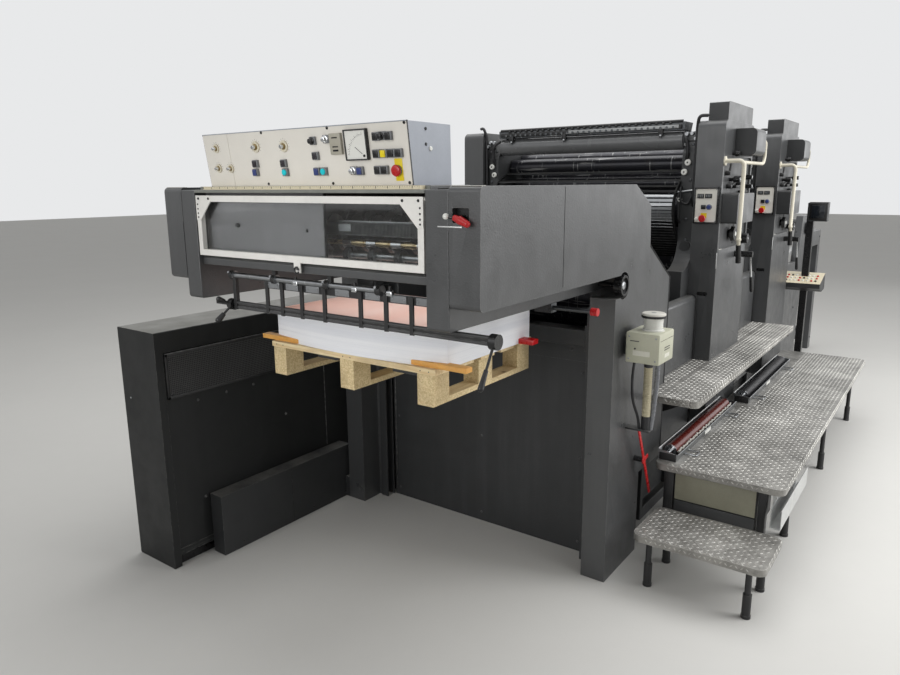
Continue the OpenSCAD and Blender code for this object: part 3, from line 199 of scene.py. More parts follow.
def make_dust():
    """Pale dust that settles on whatever faces up."""
    w, given, out = new_group("dust", {"Amount": 0.4}, "Mask", "NodeSocketFloat")
    normal = w.add("NewGeometry").outputs["Normal"]
    up = w.span(w.add("SeparateXYZ", {0: normal}).outputs["Z"], 0.55, 0.98)
    patches = w.span(w.noise(7.0, 6.0, rough=0.65), 0.3, 0.75)
    w.plug(out, w.maths("MULTIPLY", w.maths("MULTIPLY", up, patches), given["Amount"]))


def make_streaks():
    """Wiping marks and runs that hang down a wall."""
    w, given, out = new_group("streaks", {"Amount": 0.5}, "Mask", "NodeSocketFloat")
    runs = w.span(w.noise(16.0, 4.0, stretch=(1.0, 1.0, 0.07), rough=0.6), 0.45, 0.75)
    patches = w.span(w.noise(1.6, 2.0), 0.35, 0.65)
    w.plug(out, w.maths("MULTIPLY", w.maths("MULTIPLY", runs, patches), given["Amount"]))


def make_scratches():
    """Fine crossing scratches."""
    w, given, out = new_group("scratches", {"Scale": 60.0, "Amount": 0.5}, "Mask", "NodeSocketFloat")
    masks = []
    for stretch in ((0.06, 0.5, 1.0), (1.0, 0.4, 0.05)):
        lines = w.noise(given["Scale"], 1.0, stretch=stretch)
        masks.append(w.span(lines, 0.66, 0.72))
    w.plug(out, w.maths("MULTIPLY", w.maths("MAXIMUM", masks[0], masks[1]), given["Amount"]))


def make_hammered():
    """The dimpled skin of hammered enamel."""
    w, given, out = new_group("hammered", {"Scale": 220.0}, "Height", "NodeSocketFloat")
    cells = w.add("TexVoronoi", {"Vector": w.place(), "Scale": given["Scale"], "Smoothness": 0.9},
                  feature="SMOOTH_F1").outputs["Distance"]
    w.plug(out, w.maths("ADD", cells, w.maths("MULTIPLY", w.noise(12.0, 3.0), 2.0)))


for build in (make_mottling, make_edge_wear, make_dust, make_streaks, make_scratches, make_hammered):
    build()


def new_finish(name):
    """A material with its wiring helper and its shader."""
    material = bpy.data.materials.new(name)
    material.use_nodes = True
    shader = material.node_tree.nodes["Principled BSDF"]
    return material, Wiring(material.node_tree), shader


def bump(w, shader, height, distance, strength=1.0):
    node = w.add("Bump", {"Height": height, "Distance": distance, "Strength": strength})
    w.plug(shader.inputs["Normal"], node.outputs["Normal"])


def enamel(name, colour, rough=0.42, spread=0.12, hammer=0.0004, wear=0.6, dust=0.35, streaks=0.35, sheen=0.5):
    """Sprayed machine paint: hammered skin, rubbed edges, wiping marks and dust."""
    material, w, shader = new_finish(name)
    worn = w.group("edge wear", Width=0.003, Amount=wear)
    paint = w.group("mottling", Colour=colour, Spread=spread, Scale=2.5)
    lighter = tuple(min(1.0, c * 1.7 + 0.015) for c in colour[:3]) + (1.0,)
    paint = w.mix(w.group("streaks", Amount=streaks), paint, lighter)
    paint = w.mix(w.group("dust", Amount=dust), paint, srgb(150, 148, 142))
    paint = w.mix(worn, paint, srgb(176, 176, 172))
    w.plug(shader.inputs["Base Color"], paint)
    w.plug(shader.inputs["Metallic"], w.maths("MULTIPLY", worn, 0.8))
    w.plug(shader.inputs["Roughness"], w.span(w.noise(9.0, 4.0), 0.3, 0.7, rough - 0.07, rough + 0.1))
    shader.inputs["Specular IOR Level"].default_value = sheen
    bump(w, shader, w.group("hammered", Scale=190.0), hammer)
    return material


def plastic(name, colour, rough=0.35, spread=0.05, glow=0.0):
    """Moulded plastic with a fine grain and greasy patches."""
    material, w, shader = new_finish(name)
    w.plug(shader.inputs["Base Color"], w.group("mottling", Colour=colour, Spread=spread, Scale=14.0))
    w.plug(shader.inputs["Roughness"], w.span(w.noise(60.0, 3.0), 0.3, 0.7, rough - 0.08, rough + 0.1))
    if glow:
        w.plug(shader.inputs["Emission Color"], w.group("mottling", Colour=colour, Spread=0.2, Scale=60.0))
        shader.inputs["Emission Strength"].default_value = glow
    bump(w, shader, w.noise(900.0, 2.0), 0.0001, 0.5)
    return material


def metal(name, colour, rough=0.3, spread=0.12, stretch=(1.0, 1.0, 1.0), dirt=0.25, metallic=1.0):
    """Bare metal with a grain that runs one way, stains and scratches."""
    material, w, shader = new_finish(name)
    shade = w.group("mottling", Colour=colour, Spread=spread, Scale=5.0)
    stained = w.span(w.noise(11.0, 6.0, rough=0.7), 0.5, 0.75, 0.0, dirt)
    shade = w.mix(stained, shade, srgb(52, 48, 44))
    shade = w.mix(w.group("scratches", Scale=70.0, Amount=0.35), shade, srgb(225, 225, 222))
    w.plug(shader.inputs["Base Color"], shade)
    shader.inputs["Metallic"].default_value = metallic
    lines = w.noise(500.0, 2.0, stretch=stretch)
    w.plug(shader.inputs["Roughness"], w.span(lines, 0.25, 0.75, rough - 0.08, rough + 0.12))
    bump(w, shader, lines, 0.00015, 0.6)
    return material


def wood(name, along):
    """Rough-sawn pallet timber with its grain along one axis."""
    material, w, shader = new_finish(name)
    squeeze = [14.0, 14.0, 14.0]
    squeeze["XYZ".index(along)] = 0.7
    grain = w.noise(6.0, 6.0, stretch=tuple(squeeze), rough=0.65)
    rings = w.span(grain, 0.35, 0.65)
    shade = w.mix(rings, srgb(238, 220, 178), srgb(212, 184, 138))
    knots = w.add("TexVoronoi", {"Vector": w.place(), "Scale": 7.0}).outputs["Distance"]
    shade = w.mix(w.span(knots, 0.1, 0.03), shade, srgb(96, 58, 30))
    grime = w.span(w.noise(4.0, 6.0, rough=0.7), 0.5, 0.75, 0.0, 0.45)
    shade = w.mix(grime, shade, srgb(122, 104, 82))
    w.plug(shader.inputs["Base Color"], shade)
    shader.inputs["Roughness"].default_value = 0.78
    bump(w, shader, grain, 0.0012)
    return material


def sheets(name):
    """The side of a stack of paper: many thin edges, some standing out."""
    material, w, shader = new_finish(name)
    edges = w.noise(70.0, 5.0, stretch=(0.05, 0.05, 12.0), rough=0.75)
    bands = w.span(w.noise(5.0, 3.0, stretch=(0.04, 0.04, 6.0)), 0.35, 0.7)
    shade = w.mix(bands, srgb(242, 243, 246), srgb(224, 226, 232))
    shade = w.mix(w.span(edges, 0.56, 0.72, 0.0, 0.5), shade, srgb(186, 190, 198))
    w.plug(shader.inputs["Base Color"], shade)
    shader.inputs["Roughness"].default_value = 0.85
    bump(w, shader, edges, 0.0008)
    return material


def printed_sheet(name):
    """The top sheet: an even pale orange print with faint sweeps of light and shade."""
    material, w, shader = new_finish(name)
    sweeps = w.span(w.noise(3.0, 2.0, stretch=(1.0, 0.35, 1.0)), 0.35, 0.7)
    shade = w.mix(sweeps, srgb(240, 186, 168), srgb(246, 212, 200))
    w.plug(shader.inputs["Base Color"], shade)
    shader.inputs["Roughness"].default_value = 0.5
    bump(w, shader, w.noise(3.0, 2.0), 0.004, 0.4)
    return material


def tread_plate(name, colour, grime, rough):
    """Aluminium tread plate trodden dark, with bright spots where shoes polish it."""
    material, w, shader = new_finish(name)
    shade = w.group("mottling", Colour=colour, Spread=0.2, Scale=9.0)
    dirty = w.span(w.noise(3.5, 8.0, rough=0.75), 0.36, 0.62, 0.0, grime)
    shade = w.mix(dirty, shade, srgb(58, 56, 52))
    shade = w.mix(w.group("edge wear", Width=0.004, Amount=0.8), shade, srgb(205, 205, 200))
    w.plug(shader.inputs["Base Color"], shade)
    shader.inputs["Metallic"].default_value = 0.5
    w.plug(shader.inputs["Roughness"], w.span(w.noise(25.0, 4.0), 0.3, 0.7, rough - 0.1, rough + 0.15))
    bump(w, shader, w.noise(140.0, 5.0, rough=0.7), 0.0005)
    return material


def chipboard(name):
    """Pressed wood chips, each a shade of its own."""
    material, w, shader = new_finish(name)
    chips = w.add("TexVoronoi", {"Vector": w.place(), "Scale": 210.0}).outputs["Color"]
    depth = w.add("SeparateColor", {0: chips}).outputs[0]
    shade = w.mix(depth, srgb(200, 176, 130), srgb(232, 212, 168))
    shade = w.mix(w.span(w.noise(5.0, 6.0), 0.5, 0.75, 0.0, 0.5), shade, srgb(118, 96, 70))
    w.plug(shader.inputs["Base Color"], shade)
    shader.inputs["Roughness"].default_value = 0.85
    bump(w, shader, depth, 0.0006)
    return material


def perforated(name):
    """Black sheet with rows of small round holes, seen from the side of the press."""
    material, w, shader = new_finish(name)
    flat = w.add("Mapping", {"Vector": w.place(), "Scale": (0.0, 1.0, 1.0)}).outputs["Vector"]
    cells = w.add("TexVoronoi", {"Vector": flat, "Scale": 110.0, "Randomness": 0.0}).outputs["Distance"]
    hole = w.span(cells, 0.34, 0.28)
    sheet = w.group("mottling", Colour=srgb(62, 62, 62), Spread=0.25, Scale=6.0)
    w.plug(shader.inputs["Base Color"], w.mix(hole, sheet, srgb(6, 6, 6)))
    w.plug(shader.inputs["Roughness"], w.span(hole, 0.0, 1.0, 0.45, 0.95))
    bump(w, shader, hole, -0.0006)
    return material


def clear_sheet(name):
    """Acrylic sheet with wiping haze; light for shadows passes straight through."""
    material, w, shader = new_finish(name)
    haze = w.span(w.noise(4.0, 5.0, stretch=(1.0, 1.0, 2.0)), 0.4, 0.8, 0.015, 0.09)
    shader.inputs["Base Color"].default_value = (0.9, 0.92, 0.92, 1.0)
    shader.inputs["Transmission Weight"].default_value = 1.0
    shader.inputs["IOR"].default_value = 1.49
    w.plug(shader.inputs["Roughness"], haze)
    shadow = w.add("LightPath").outputs["Is Shadow Ray"]
    through = w.add("BsdfTransparent", {"Color": (0.86, 0.88, 0.88, 1.0)}).outputs[0]
    mixed = w.add("MixShader", {0: shadow, 1: shader.outputs[0], 2: through}).outputs[0]
    output = material.node_tree.nodes["Material Output"]
    w.plug(output.inputs["Surface"], mixed)
    return material


GREY = enamel("machine enamel", srgb(66, 67, 68), rough=0.34, sheen=0.75)
DARK = enamel("frame enamel", srgb(48, 49, 50), rough=0.45, wear=0.45)
RECESS = enamel("recess enamel", srgb(62, 63, 64), rough=0.45, wear=0.3, dust=0.15)
CAB = enamel("cabinet enamel", srgb(30, 31, 31), rough=0.5, hammer=0.0002, dust=0.25, streaks=0.4, sheen=0.35)
CAB_TOP = enamel("worn cabinet top", srgb(104, 103, 97), rough=0.5, spread=0.2, hammer=0.0001, dust=0.3)
RAIL_GREY = enamel("front rail enamel", srgb(124, 126, 120), rough=0.42, hammer=0.0001)
DUCT = enamel("duct enamel", srgb(44, 45, 46), rough=0.5, hammer=0.0002, dust=0.5)
BLACK = enamel("black enamel", srgb(30, 30, 31), rough=0.45, hammer=0.0001, wear=0.35, dust=0.2, streaks=0.1)
SLAT = enamel("slat enamel", srgb(13, 13, 14), rough=0.6, hammer=0.0, wear=0.3, dust=0.1, streaks=0.05, sheen=0.15)
WORN_BLACK = enamel("rubbed black enamel", srgb(62, 62, 63), rough=0.4, hammer=0.0001, wear=0.9, dust=0.4)
# Gloss black tube enamel coloured mid-grey: a painted sheen of the ceiling light in its colour
GUARD_TUBE_SHEEN = enamel("black enamel with painted sheen", srgb(112, 113, 114), rough=0.22, hammer=0.0, wear=0.2, dust=0.12,
                    streaks=0.05)
WHITE = enamel("white enamel", srgb(214, 208, 190), rough=0.35, hammer=0.00005, wear=0.5, dust=0.1, streaks=0.1)
INNER = enamel("inner sheet enamel", srgb(112, 110, 112), rough=0.5, spread=0.15, hammer=0.0001, streaks=0.5)
GUARD = metal("painted aluminium", srgb(235, 233, 228), rough=0.42, metallic=0.15, dirt=0.12, spread=0.06)
HOUSING = plastic("console housing", srgb(157, 162, 171), rough=0.42, spread=0.08)
PANEL = plastic("console face", srgb(234, 230, 221), rough=0.4, spread=0.03)
CREAM = plastic("cream plastic", srgb(216, 206, 178))
KNOB = plastic("pale knobs", srgb(226, 220, 200), rough=0.35)
INK_BLACK = plastic("black plastic", srgb(22, 22, 23), rough=0.3)
DARK_CAP = plastic("dark caps", srgb(48, 45, 50), rough=0.22)
BUTTON_GREY = plastic("button housing", srgb(122, 124, 126), rough=0.4)
COUNTER = plastic("counter case", srgb(174, 170, 156), rough=0.4)
BLUE = plastic("blue cap", srgb(50, 64, 122))
CYAN = plastic("lit cap", srgb(20, 190, 200), glow=0.2)
YELLOW = plastic("yellow plastic", srgb(240, 216, 24))
LATH = plastic("painted lath", srgb(222, 164, 84), rough=0.6, spread=0.2)
RED = plastic("red plastic", srgb(186, 22, 26), rough=0.28)
DIAL = plastic("white plastic", srgb(232, 232, 226), rough=0.45, spread=0.02)
# Pale plastic of the film and the sight-cup lid; also the painted highlight along lit edges
PALE_PLASTIC_AND_HIGHLIGHT = plastic("pale plastic and painted edge highlight", srgb(206, 204, 196), rough=0.5, spread=0.12)
SEAM = plastic("seam shadow", srgb(20, 20, 20), rough=0.8)
TRIM = plastic("rubber trim", srgb(24, 24, 25), rough=0.42, spread=0.1)
BEIGE = plastic("beige panel", srgb(150, 148, 130), rough=0.5, spread=0.12)
SCREEN = plastic("dark screen", srgb(24, 28, 34), rough=0.14)
CHROME = metal("chrome", srgb(214, 216, 218), rough=0.16, spread=0.04, dirt=0.1)
BRASS = metal("knob rings", srgb(158, 138, 96), rough=0.3, dirt=0.3)
STEEL = metal("ground steel", srgb(156, 158, 160), rough=0.32, stretch=(0.05, 1.0, 1.0))
# Bright steel that paints the highlights on the slats
SLAT_HIGHLIGHT_STEEL = metal("steel of painted slat highlights", srgb(128, 130, 132), rough=0.4, metallic=0.7, dirt=0.45, stretch=(0.05, 1.0, 1.0))
GOLDEN = metal("gripper shaft", srgb(196, 178, 142), rough=0.25, dirt=0.2, stretch=(0.05, 1.0, 1.0))
DULL = metal("inky steel", srgb(92, 94, 96), rough=0.42, dirt=0.7)
INKY_ROLLER = metal("inky rollers", srgb(44, 44, 50), rough=0.28, metallic=0.3, dirt=0.5)
RAIL = metal("drawn aluminium", srgb(206, 207, 206), rough=0.4, metallic=0.7, stretch=(0.05, 1.0, 1.0), dirt=0.12)
# Worn pale metal; on the tower box tops its lightness is partly a painted sheen
SCRATCHED_AND_SHEEN = metal("worn metal with painted sheen", srgb(168, 170, 170), rough=0.42, metallic=0.35, dirt=0.35, spread=0.25)
TREAD = tread_plate("tread plate", srgb(174, 172, 167), 0.6, 0.46)
TREAD_BAR = tread_plate("tread bars", srgb(224, 222, 216), 0.55, 0.34)
RUBBER = plastic("brown roller rubber", srgb(96, 34, 28), rough=0.25, spread=0.12)
DARK_RUBBER = plastic("black rubber", srgb(28, 28, 30), rough=0.5, spread=0.1)
BOX_PLASTIC = plastic("junction box plastic", srgb(186, 186, 166), rough=0.45, spread=0.08)
PALE_PLATE = plastic("pale plate", srgb(214, 213, 200), rough=0.5, spread=0.1)
HOSE = plastic("beige hose", srgb(176, 168, 142), rough=0.55, spread=0.15)
GREY_HOSE = plastic("grey hose", srgb(112, 114, 118), rough=0.28, spread=0.1)
CUP = plastic("sight cup", srgb(222, 222, 216), rough=0.22)
WOOD_X = wood("pallet boards", "X")
WOOD_Y = wood("pallet skids", "Y")
CHIPBOARD = chipboard("pallet blocks")
PERFORATED = perforated("perforated sheet")
PAPER = sheets("paper edges")
PRINT = printed_sheet("top sheet")
CLEAR = clear_sheet("acrylic pane")


# Shapes

def front(x, y, z):
    """A place on a wall that faces the delivery end: X stays, Y points up, Z points out."""
    return at(x, y, z) @ turn("X", 90)


def side(x, y, z, sign=1):
    """A place on a side wall: Y points up and Z points out, to +X or to -X."""
    return at(x, y, z) @ turn("Z", 90 * sign) @ turn("X", 90)


def curve_points(corners, radius=0.05, steps=6):
    """Points along straight runs joined by round bends."""
    corners = [Vector(c) for c in corners]
    found = [corners[0]]
    for before, corner, after in zip(corners, corners[1:], corners[2:]):
        reach = min(radius, (before - corner).length / 2, (after - corner).length / 2)
        start = corner + (before - corner).normalized() * reach
        end = corner + (after - corner).normalized() * reach
        for i in range(steps + 1):
            t = i / steps
            found.append((1 - t) ** 2 * start + 2 * t * (1 - t) * corner + t ** 2 * end)
    return found + [corners[-1]]


def frame_bars(x0, y0, x1, y1, width):
    """The four bars of a flat frame: left, right, bottom and top, as (x0, y0, x1, y1)."""
    return ((x0, y0, x0 + width, y1), (x1 - width, y0, x1, y1), (x0, y0, x1, y0 + width), (x0, y1 - width, x1, y1))


class Build:
    """Gathers the shapes of one piece; each shape names its own finish."""

    def __init__(self, node=None, finish=None):
        self.node = node
        self.bm = bmesh.new()
        self.finishes = []
        if finish:
            # The node's own mesh, with its loose triangles joined and its flats cleaned
            self.finishes.append(finish)
            self.bm.from_mesh(frame["nodes"][node].data)
            bmesh.ops.remove_doubles(self.bm, verts=self.bm.verts, dist=1e-5)
            bmesh.ops.dissolve_limit(
                self.bm, angle_limit=math.radians(0.8), verts=self.bm.verts, edges=self.bm.edges)
            self.bm.normal_update()

    def number(self, finish):
        if finish not in self.finishes:
            self.finishes.append(finish)
        return self.finishes.index(finish)

    def coat(self, verts, finish):
        number = self.number(finish)
        for face in {f for v in verts for f in v.link_faces}:
            face.material_index = number
        return verts

    def paint(self, finish, test):
        """Gives the finish to each face whose centre and normal pass the test."""
        number = self.number(finish)
        for face in self.bm.faces:
            if test(face.calc_center_median(), face.normal):
                face.material_index = number

    def box(self, low, high, finish, place=Matrix(), soft=0.0):
        low, high = Vector(low), Vector(high)
        made = bmesh.ops.create_cube(self.bm, size=1.0)["verts"]
        shape = at(*((low + high) / 2)) @ Matrix.Diagonal((*(high - low), 1.0))
        bmesh.ops.transform(self.bm, matrix=place @ shape, verts=made)
        self.coat(made, finish)
        if soft:
            edges = list({e for v in made for e in v.link_edges})
            bmesh.ops.bevel(self.bm, geom=edges, offset=soft, segments=2, profile=0.5,
                            affect="EDGES", material=-1, clamp_overlap=True)
        return made

    def rod(self, start, end, radius, finish, end_radius=None, sides=20, place=Matrix()):
        length = (Vector(end) - Vector(start)).length
        made = bmesh.ops.create_cone(
            self.bm, cap_ends=True, segments=sides, radius1=radius,
            radius2=radius if end_radius is None else end_radius, depth=length)["verts"]
        bmesh.ops.transform(self.bm, matrix=place @ towards(start, end) @ at(0, 0, length / 2), verts=made)
        return self.coat(made, finish)

    def ball(self, centre, radius, finish):
        made = bmesh.ops.create_uvsphere(self.bm, u_segments=20, v_segments=12, radius=radius)["verts"]
        bmesh.ops.transform(self.bm, matrix=at(*centre), verts=made)
        return self.coat(made, finish)

    def turned(self, profile, finish, place=Matrix(), sides=28):
        """Spins a profile of (radius, height) points round Z; it starts and ends on the axis."""
        before = set(self.bm.verts)
        start = [self.bm.verts.new((radius, 0.0, height)) for radius, height in profile]
        lines = [self.bm.edges.new(pair) for pair in zip(start, start[1:])]
        bmesh.ops.spin(self.bm, geom=start + lines, cent=(0, 0, 0), axis=(0, 0, 1), angle=math.tau,
                       steps=sides, use_merge=True)
        made = [v for v in self.bm.verts if v not in before]
        bmesh.ops.remove_doubles(self.bm, verts=made, dist=1e-6)
        made = [v for v in self.bm.verts if v not in before]
        faces = list({f for v in made for f in v.link_faces})
        bmesh.ops.recalc_face_normals(self.bm, faces=faces)
        bmesh.ops.transform(self.bm, matrix=place, verts=made)
        return self.coat(made, finish)

    def tube(self, points, radius, finish, sides=12):
        """A round bar bent through a list of points, closed at both ends."""
        points = [Vector(p) for p in points]
        rings = []
        for i, point in enumerate(points):
            ahead = points[min(i + 1, len(points) - 1)] - points[max(i - 1, 0)]
            made = bmesh.ops.create_circle(self.bm, cap_ends=False, segments=sides, radius=radius)["verts"]
            facing = ahead.to_track_quat("Z", "Y").to_matrix().to_4x4()
            bmesh.ops.transform(self.bm, matrix=at(*point) @ facing, verts=made)
            rings.append(made)
        for first, second in zip(rings, rings[1:]):
            edges = {e for ring in (first, second) for v in ring for e in v.link_edges
                     if all(x in ring for x in e.verts)}
            bmesh.ops.bridge_loops(self.bm, edges=list(edges))
        for ring in (rings[0], rings[-1]):
            self.bm.faces.new(ring)
        made = [v for ring in rings for v in ring]
        faces = list({f for v in made for f in v.link_faces})
        bmesh.ops.recalc_face_normals(self.bm, faces=faces)
        return self.coat(made, finish)

    def repeat(self, verts, step, count):
        """Copies a shape in a straight row, count times beyond the first."""
        edges = {e for v in verts for e in v.link_edges}
        faces = {f for v in verts for f in v.link_faces}
        bmesh.ops.spin(self.bm, geom=list(verts) + list(edges) + list(faces), cent=(0, 0, 0), axis=(0, 0, 1),
                       dvec=step, angle=0.0, steps=count, use_duplicate=True)

    def screw(self, place, size=0.007, finish=None):
        """A pan-head screw, its head along Z."""
        self.turned([(0, -size * 0.3), (size, -size * 0.3), (size, size * 0.25), (size * 0.72, size * 0.55),
                     (size * 0.3, size * 0.6), (size * 0.22, size * 0.25), (0, size * 0.25)],
                    finish or BLACK, place, sides=12)

    def done(self, name=None, body=None, bevel=0.0, segments=2):
        """Makes the piece: shading, edge rounding, body, slot and the node that it stands for."""
        name = name or self.node + "_finished"
        mesh = bpy.data.meshes.new(name)
        self.bm.to_mesh(mesh)
        self.bm.free()
        for finish in self.finishes:
            mesh.materials.append(finish)
        mesh.shade_smooth()
        mesh.set_sharp_from_angle(angle=EDGE_ANGLE)
        made = bpy.data.objects.new(name, mesh)
        scene.collection.objects.link(made)
        if bevel:
            rounding = made.modifiers.new("Rounded edges", "BEVEL")
            rounding.width = bevel
            rounding.segments = segments
            rounding.limit_method = "ANGLE"
            rounding.angle_limit = EDGE_ANGLE
            rounding.harden_normals = True
            rounding.material = -1
        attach(made, body or (frame["nodes"][self.node]["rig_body"] if self.node else "press"))
        if self.node:
            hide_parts(self.node)


def dress(node, finish, bevel=0.002, segments=2, paints=()):
    """A CAD node with rounded edges, its finish, and further finishes on some of its faces."""
    build = Build(node, finish)
    for other, test in paints:
        build.paint(other, test)
    build.done(bevel=bevel, segments=segments)


# Stage, light and camera

def make_stage():
    bm = bmesh.new()
    made = bmesh.ops.create_grid(bm, x_segments=1, y_segments=1, size=40.0)["verts"]
    bmesh.ops.transform(bm, matrix=at(0, 0, CAD_BOX[0].z), verts=made)
    mesh = bpy.data.meshes.new("studio_floor")
    bm.to_mesh(mesh)
    bm.free()
    floor = bpy.data.objects.new("studio_floor", mesh)
    scene.collection.objects.link(floor)
    material, w, shader = new_finish("studio floor")
    w.plug(shader.inputs["Base Color"], w.group(
        "mottling", Colour=srgb(214, 213, 209), Spread=0.02, Scale=1.0))
    shader.inputs["Roughness"].default_value = 0.75
    mesh.materials.append(material)


def area_light(name, place, size, power, aim=(0, -0.5, 0.9), spread=180.0):
    data = bpy.data.lights.new(name, "AREA")
    data.shape = "RECTANGLE"
    data.size, data.size_y = size
    data.energy = power
    data.spread = math.radians(spread)
    lamp = bpy.data.objects.new(name, data)
    lamp.matrix_world = at(*place) @ (
        Vector(aim) - Vector(place)).to_track_quat("-Z", "Y").to_matrix().to_4x4()
    scene.collection.objects.link(lamp)


def make_light():
    world = bpy.data.worlds.new("studio")
    world.use_nodes = True
    scene.world = world
    w = Wiring(world.node_tree)
    sky = world.node_tree.nodes["Background"]
    sky.inputs["Color"].default_value = (1.0, 1.0, 1.0, 1.0)
    sky.inputs["Strength"].default_value = 0.34
    shown = w.add("Background", {"Color": srgb(232, 233, 234), "Strength": 1.0})
    path = w.add("LightPath").outputs
    seen = w.maths("MAXIMUM", path["Is Camera Ray"], path["Is Glossy Ray"])
    seen = w.maths("MAXIMUM", seen, path["Is Transmission Ray"])
    both = w.add("MixShader", {0: seen, 1: sky.outputs[0], 2: shown.outputs[0]})
    w.plug(world.node_tree.nodes["World Output"].inputs["Surface"], both.outputs[0])
    area_light("ceiling", (0.5, -0.5, 5.5), (5.0, 8.0), 265.0)
    area_light("operator_side", (5.4, 0.3, 3.0), (3.0, 5.0), 200.0, (0.8, -0.6, 1.2))
    area_light("far_side", (5.0, 8.0, 2.4), (6.0, 3.0), 50.0, (0.8, -1.5, 1.2))
    area_light("over_pile", (0.0, -2.62, 1.45), (0.95, 0.6), 2.0, (0.0, -2.62, 1.0))
    area_light("delivery_side", (-1.5, -8.5, 4.0), (5.0, 2.5), 45.0, (0, -3.0, 1.0))
    area_light("delivery_front", (0.1, -5.6, 1.7), (1.6, 1.2), 3.6, (0, -3.1, 1.35), 55.0)


def make_camera():
    data = bpy.data.cameras.new("camera")
    data.sensor_width = SENSOR
    data.lens = LENS
    data.clip_end = 200.0
    camera = bpy.data.objects.new("camera", data)
    camera.matrix_world = at(*EYE) @ turn("Z", HEADING) @ turn("X", 90 - PITCH) @ turn("Z", ROLL)
    scene.collection.objects.link(camera)
    scene.camera = camera


scene.view_settings.view_transform = "Standard"
make_stage()
make_light()
make_camera()

# Places that several pieces share
UNITS = (-0.675, 0.675)
TOWER_IN, TOWER_OUT, TOWER_HALF, TOWER_TOP = 0.690, 0.835, 0.300, 2.085
FRAME_FRONT = 0.255
FRONT_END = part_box("delivery_front_rail")[0].y
COVER_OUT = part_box("delivery_side_covers")[1].x
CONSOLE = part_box("control_console")

# Console face: u across, v up, w out of the face
FACE_LEAN, FACE_T = 0.027, 0.006
FACE_ANGLE = math.degrees(math.atan2(FACE_LEAN, CONSOLE[1].z - CONSOLE[0].z))
FACE = (at(0, CONSOLE[0].y + FACE_LEAN, CONSOLE[0].z) @ turn("X", FACE_ANGLE + 90)
        @ at(0, FACE_T * math.tan(math.radians(FACE_ANGLE)) + 0.0003, FACE_T))


# Console

def dress_console_face():
    face = Build("console_panel", PANEL)
    for u, v in ((-0.164, 0.189), (0.168, 0.189), (0.499, 0.189), (-0.168, 0.008), (0.163, 0.008),
                 (0.497, 0.008)):
        face.screw(FACE @ at(u, v), 0.0052, INK_BLACK)
    # Black gasket round the plate, and the yellow plate under the stop button
    edge = (0.5095, -0.0012, 0.1952)
    for low, high in (((-edge[0], edge[1], -0.005), (-0.5082, edge[2], -0.0005)),
                      ((0.5082, edge[1], -0.005), (edge[0], edge[2], -0.0005)),
                      ((-edge[0], edge[2] - 0.0013, -0.005), (edge[0], edge[2] + 0.001, -0.0005))):
        face.box(low, high, INK_BLACK, FACE)
    face.box((-0.508, 0.1932, -0.003), (0.508, 0.1962, 0.0016), HOUSING, FACE, 0.0006)
    face.box((0.444, 0.014, 0.0), (0.476, 0.083, 0.0012), YELLOW, FACE, 0.0005)
    # Short scale ticks round the turning knobs
    for u, v, radius in RING_KNOBS:
        for step in range(11):
            angle = math.radians(210 - 24 * step)
            way = FACE @ at(u, v) @ Matrix.Rotation(angle, 4, "Z")
            face.box((radius + 0.004, -0.0005, 0), (radius + 0.008, 0.0005, 0.0003), BUTTON_GREY, way)
    face.done(bevel=0.0008)


RING_KNOBS = ((-0.437, 0.143, 0.016), (-0.441, 0.069, 0.016), (-0.369, 0.067, 0.016),
              (-0.206, 0.141, 0.020), (-0.055, 0.138, 0.020))
# Push buttons: u, v, the cap's finish, and whether the cap is round
BUTTONS = (
    (-0.218, 0.082, DARK_CAP, False), (-0.224, 0.051, BLUE, False), (-0.065, 0.080, DARK_CAP, False),
    (-0.063, 0.049, CYAN, True), (0.101, 0.101, DARK_CAP, False), (0.098, 0.049, BLUE, False),
    (0.131, 0.049, CYAN, True), (0.298, 0.048, BLUE, False), (0.382, 0.153, INK_BLACK, False),
    (0.434, 0.153, INK_BLACK, False), (0.377, 0.100, INK_BLACK, False), (0.408, 0.100, YELLOW, False),
    (0.440, 0.100, INK_BLACK, False), (0.469, 0.100, INK_BLACK, False), (0.375, 0.049, INK_BLACK, False),
    (0.404, 0.049, INK_BLACK, False),
)


def ring_knob(build, u, v, r):
    """A pale scale ring of radius r with a stepped knob and a bright cap in its middle."""
    place = FACE @ at(u, v)
    build.turned([(0, 0), (r * 1.01, 0), (r * 1.01, 0.002), (0, 0.002)], BRASS, place)
    build.turned([(0, 0), (r, 0), (r, 0.0035), (r * 0.93, 0.005), (r * 0.74, 0.005), (r * 0.7, 0.003), (0, 0.003)],
                 KNOB, place)
    build.turned([(0, 0.002), (r * 0.56, 0.002), (r * 0.54, 0.006), (r * 0.48, 0.008), (0, 0.008)], BRASS, place)
    build.turned([(0, 0.006), (r * 0.38, 0.006), (r * 0.36, 0.018), (r * 0.28, 0.020), (0, 0.0205)], CHROME, place)
    build.box((-0.0007, r * 0.1, 0.0195), (0.0007, r * 0.3, 0.0208), INK_BLACK, place)


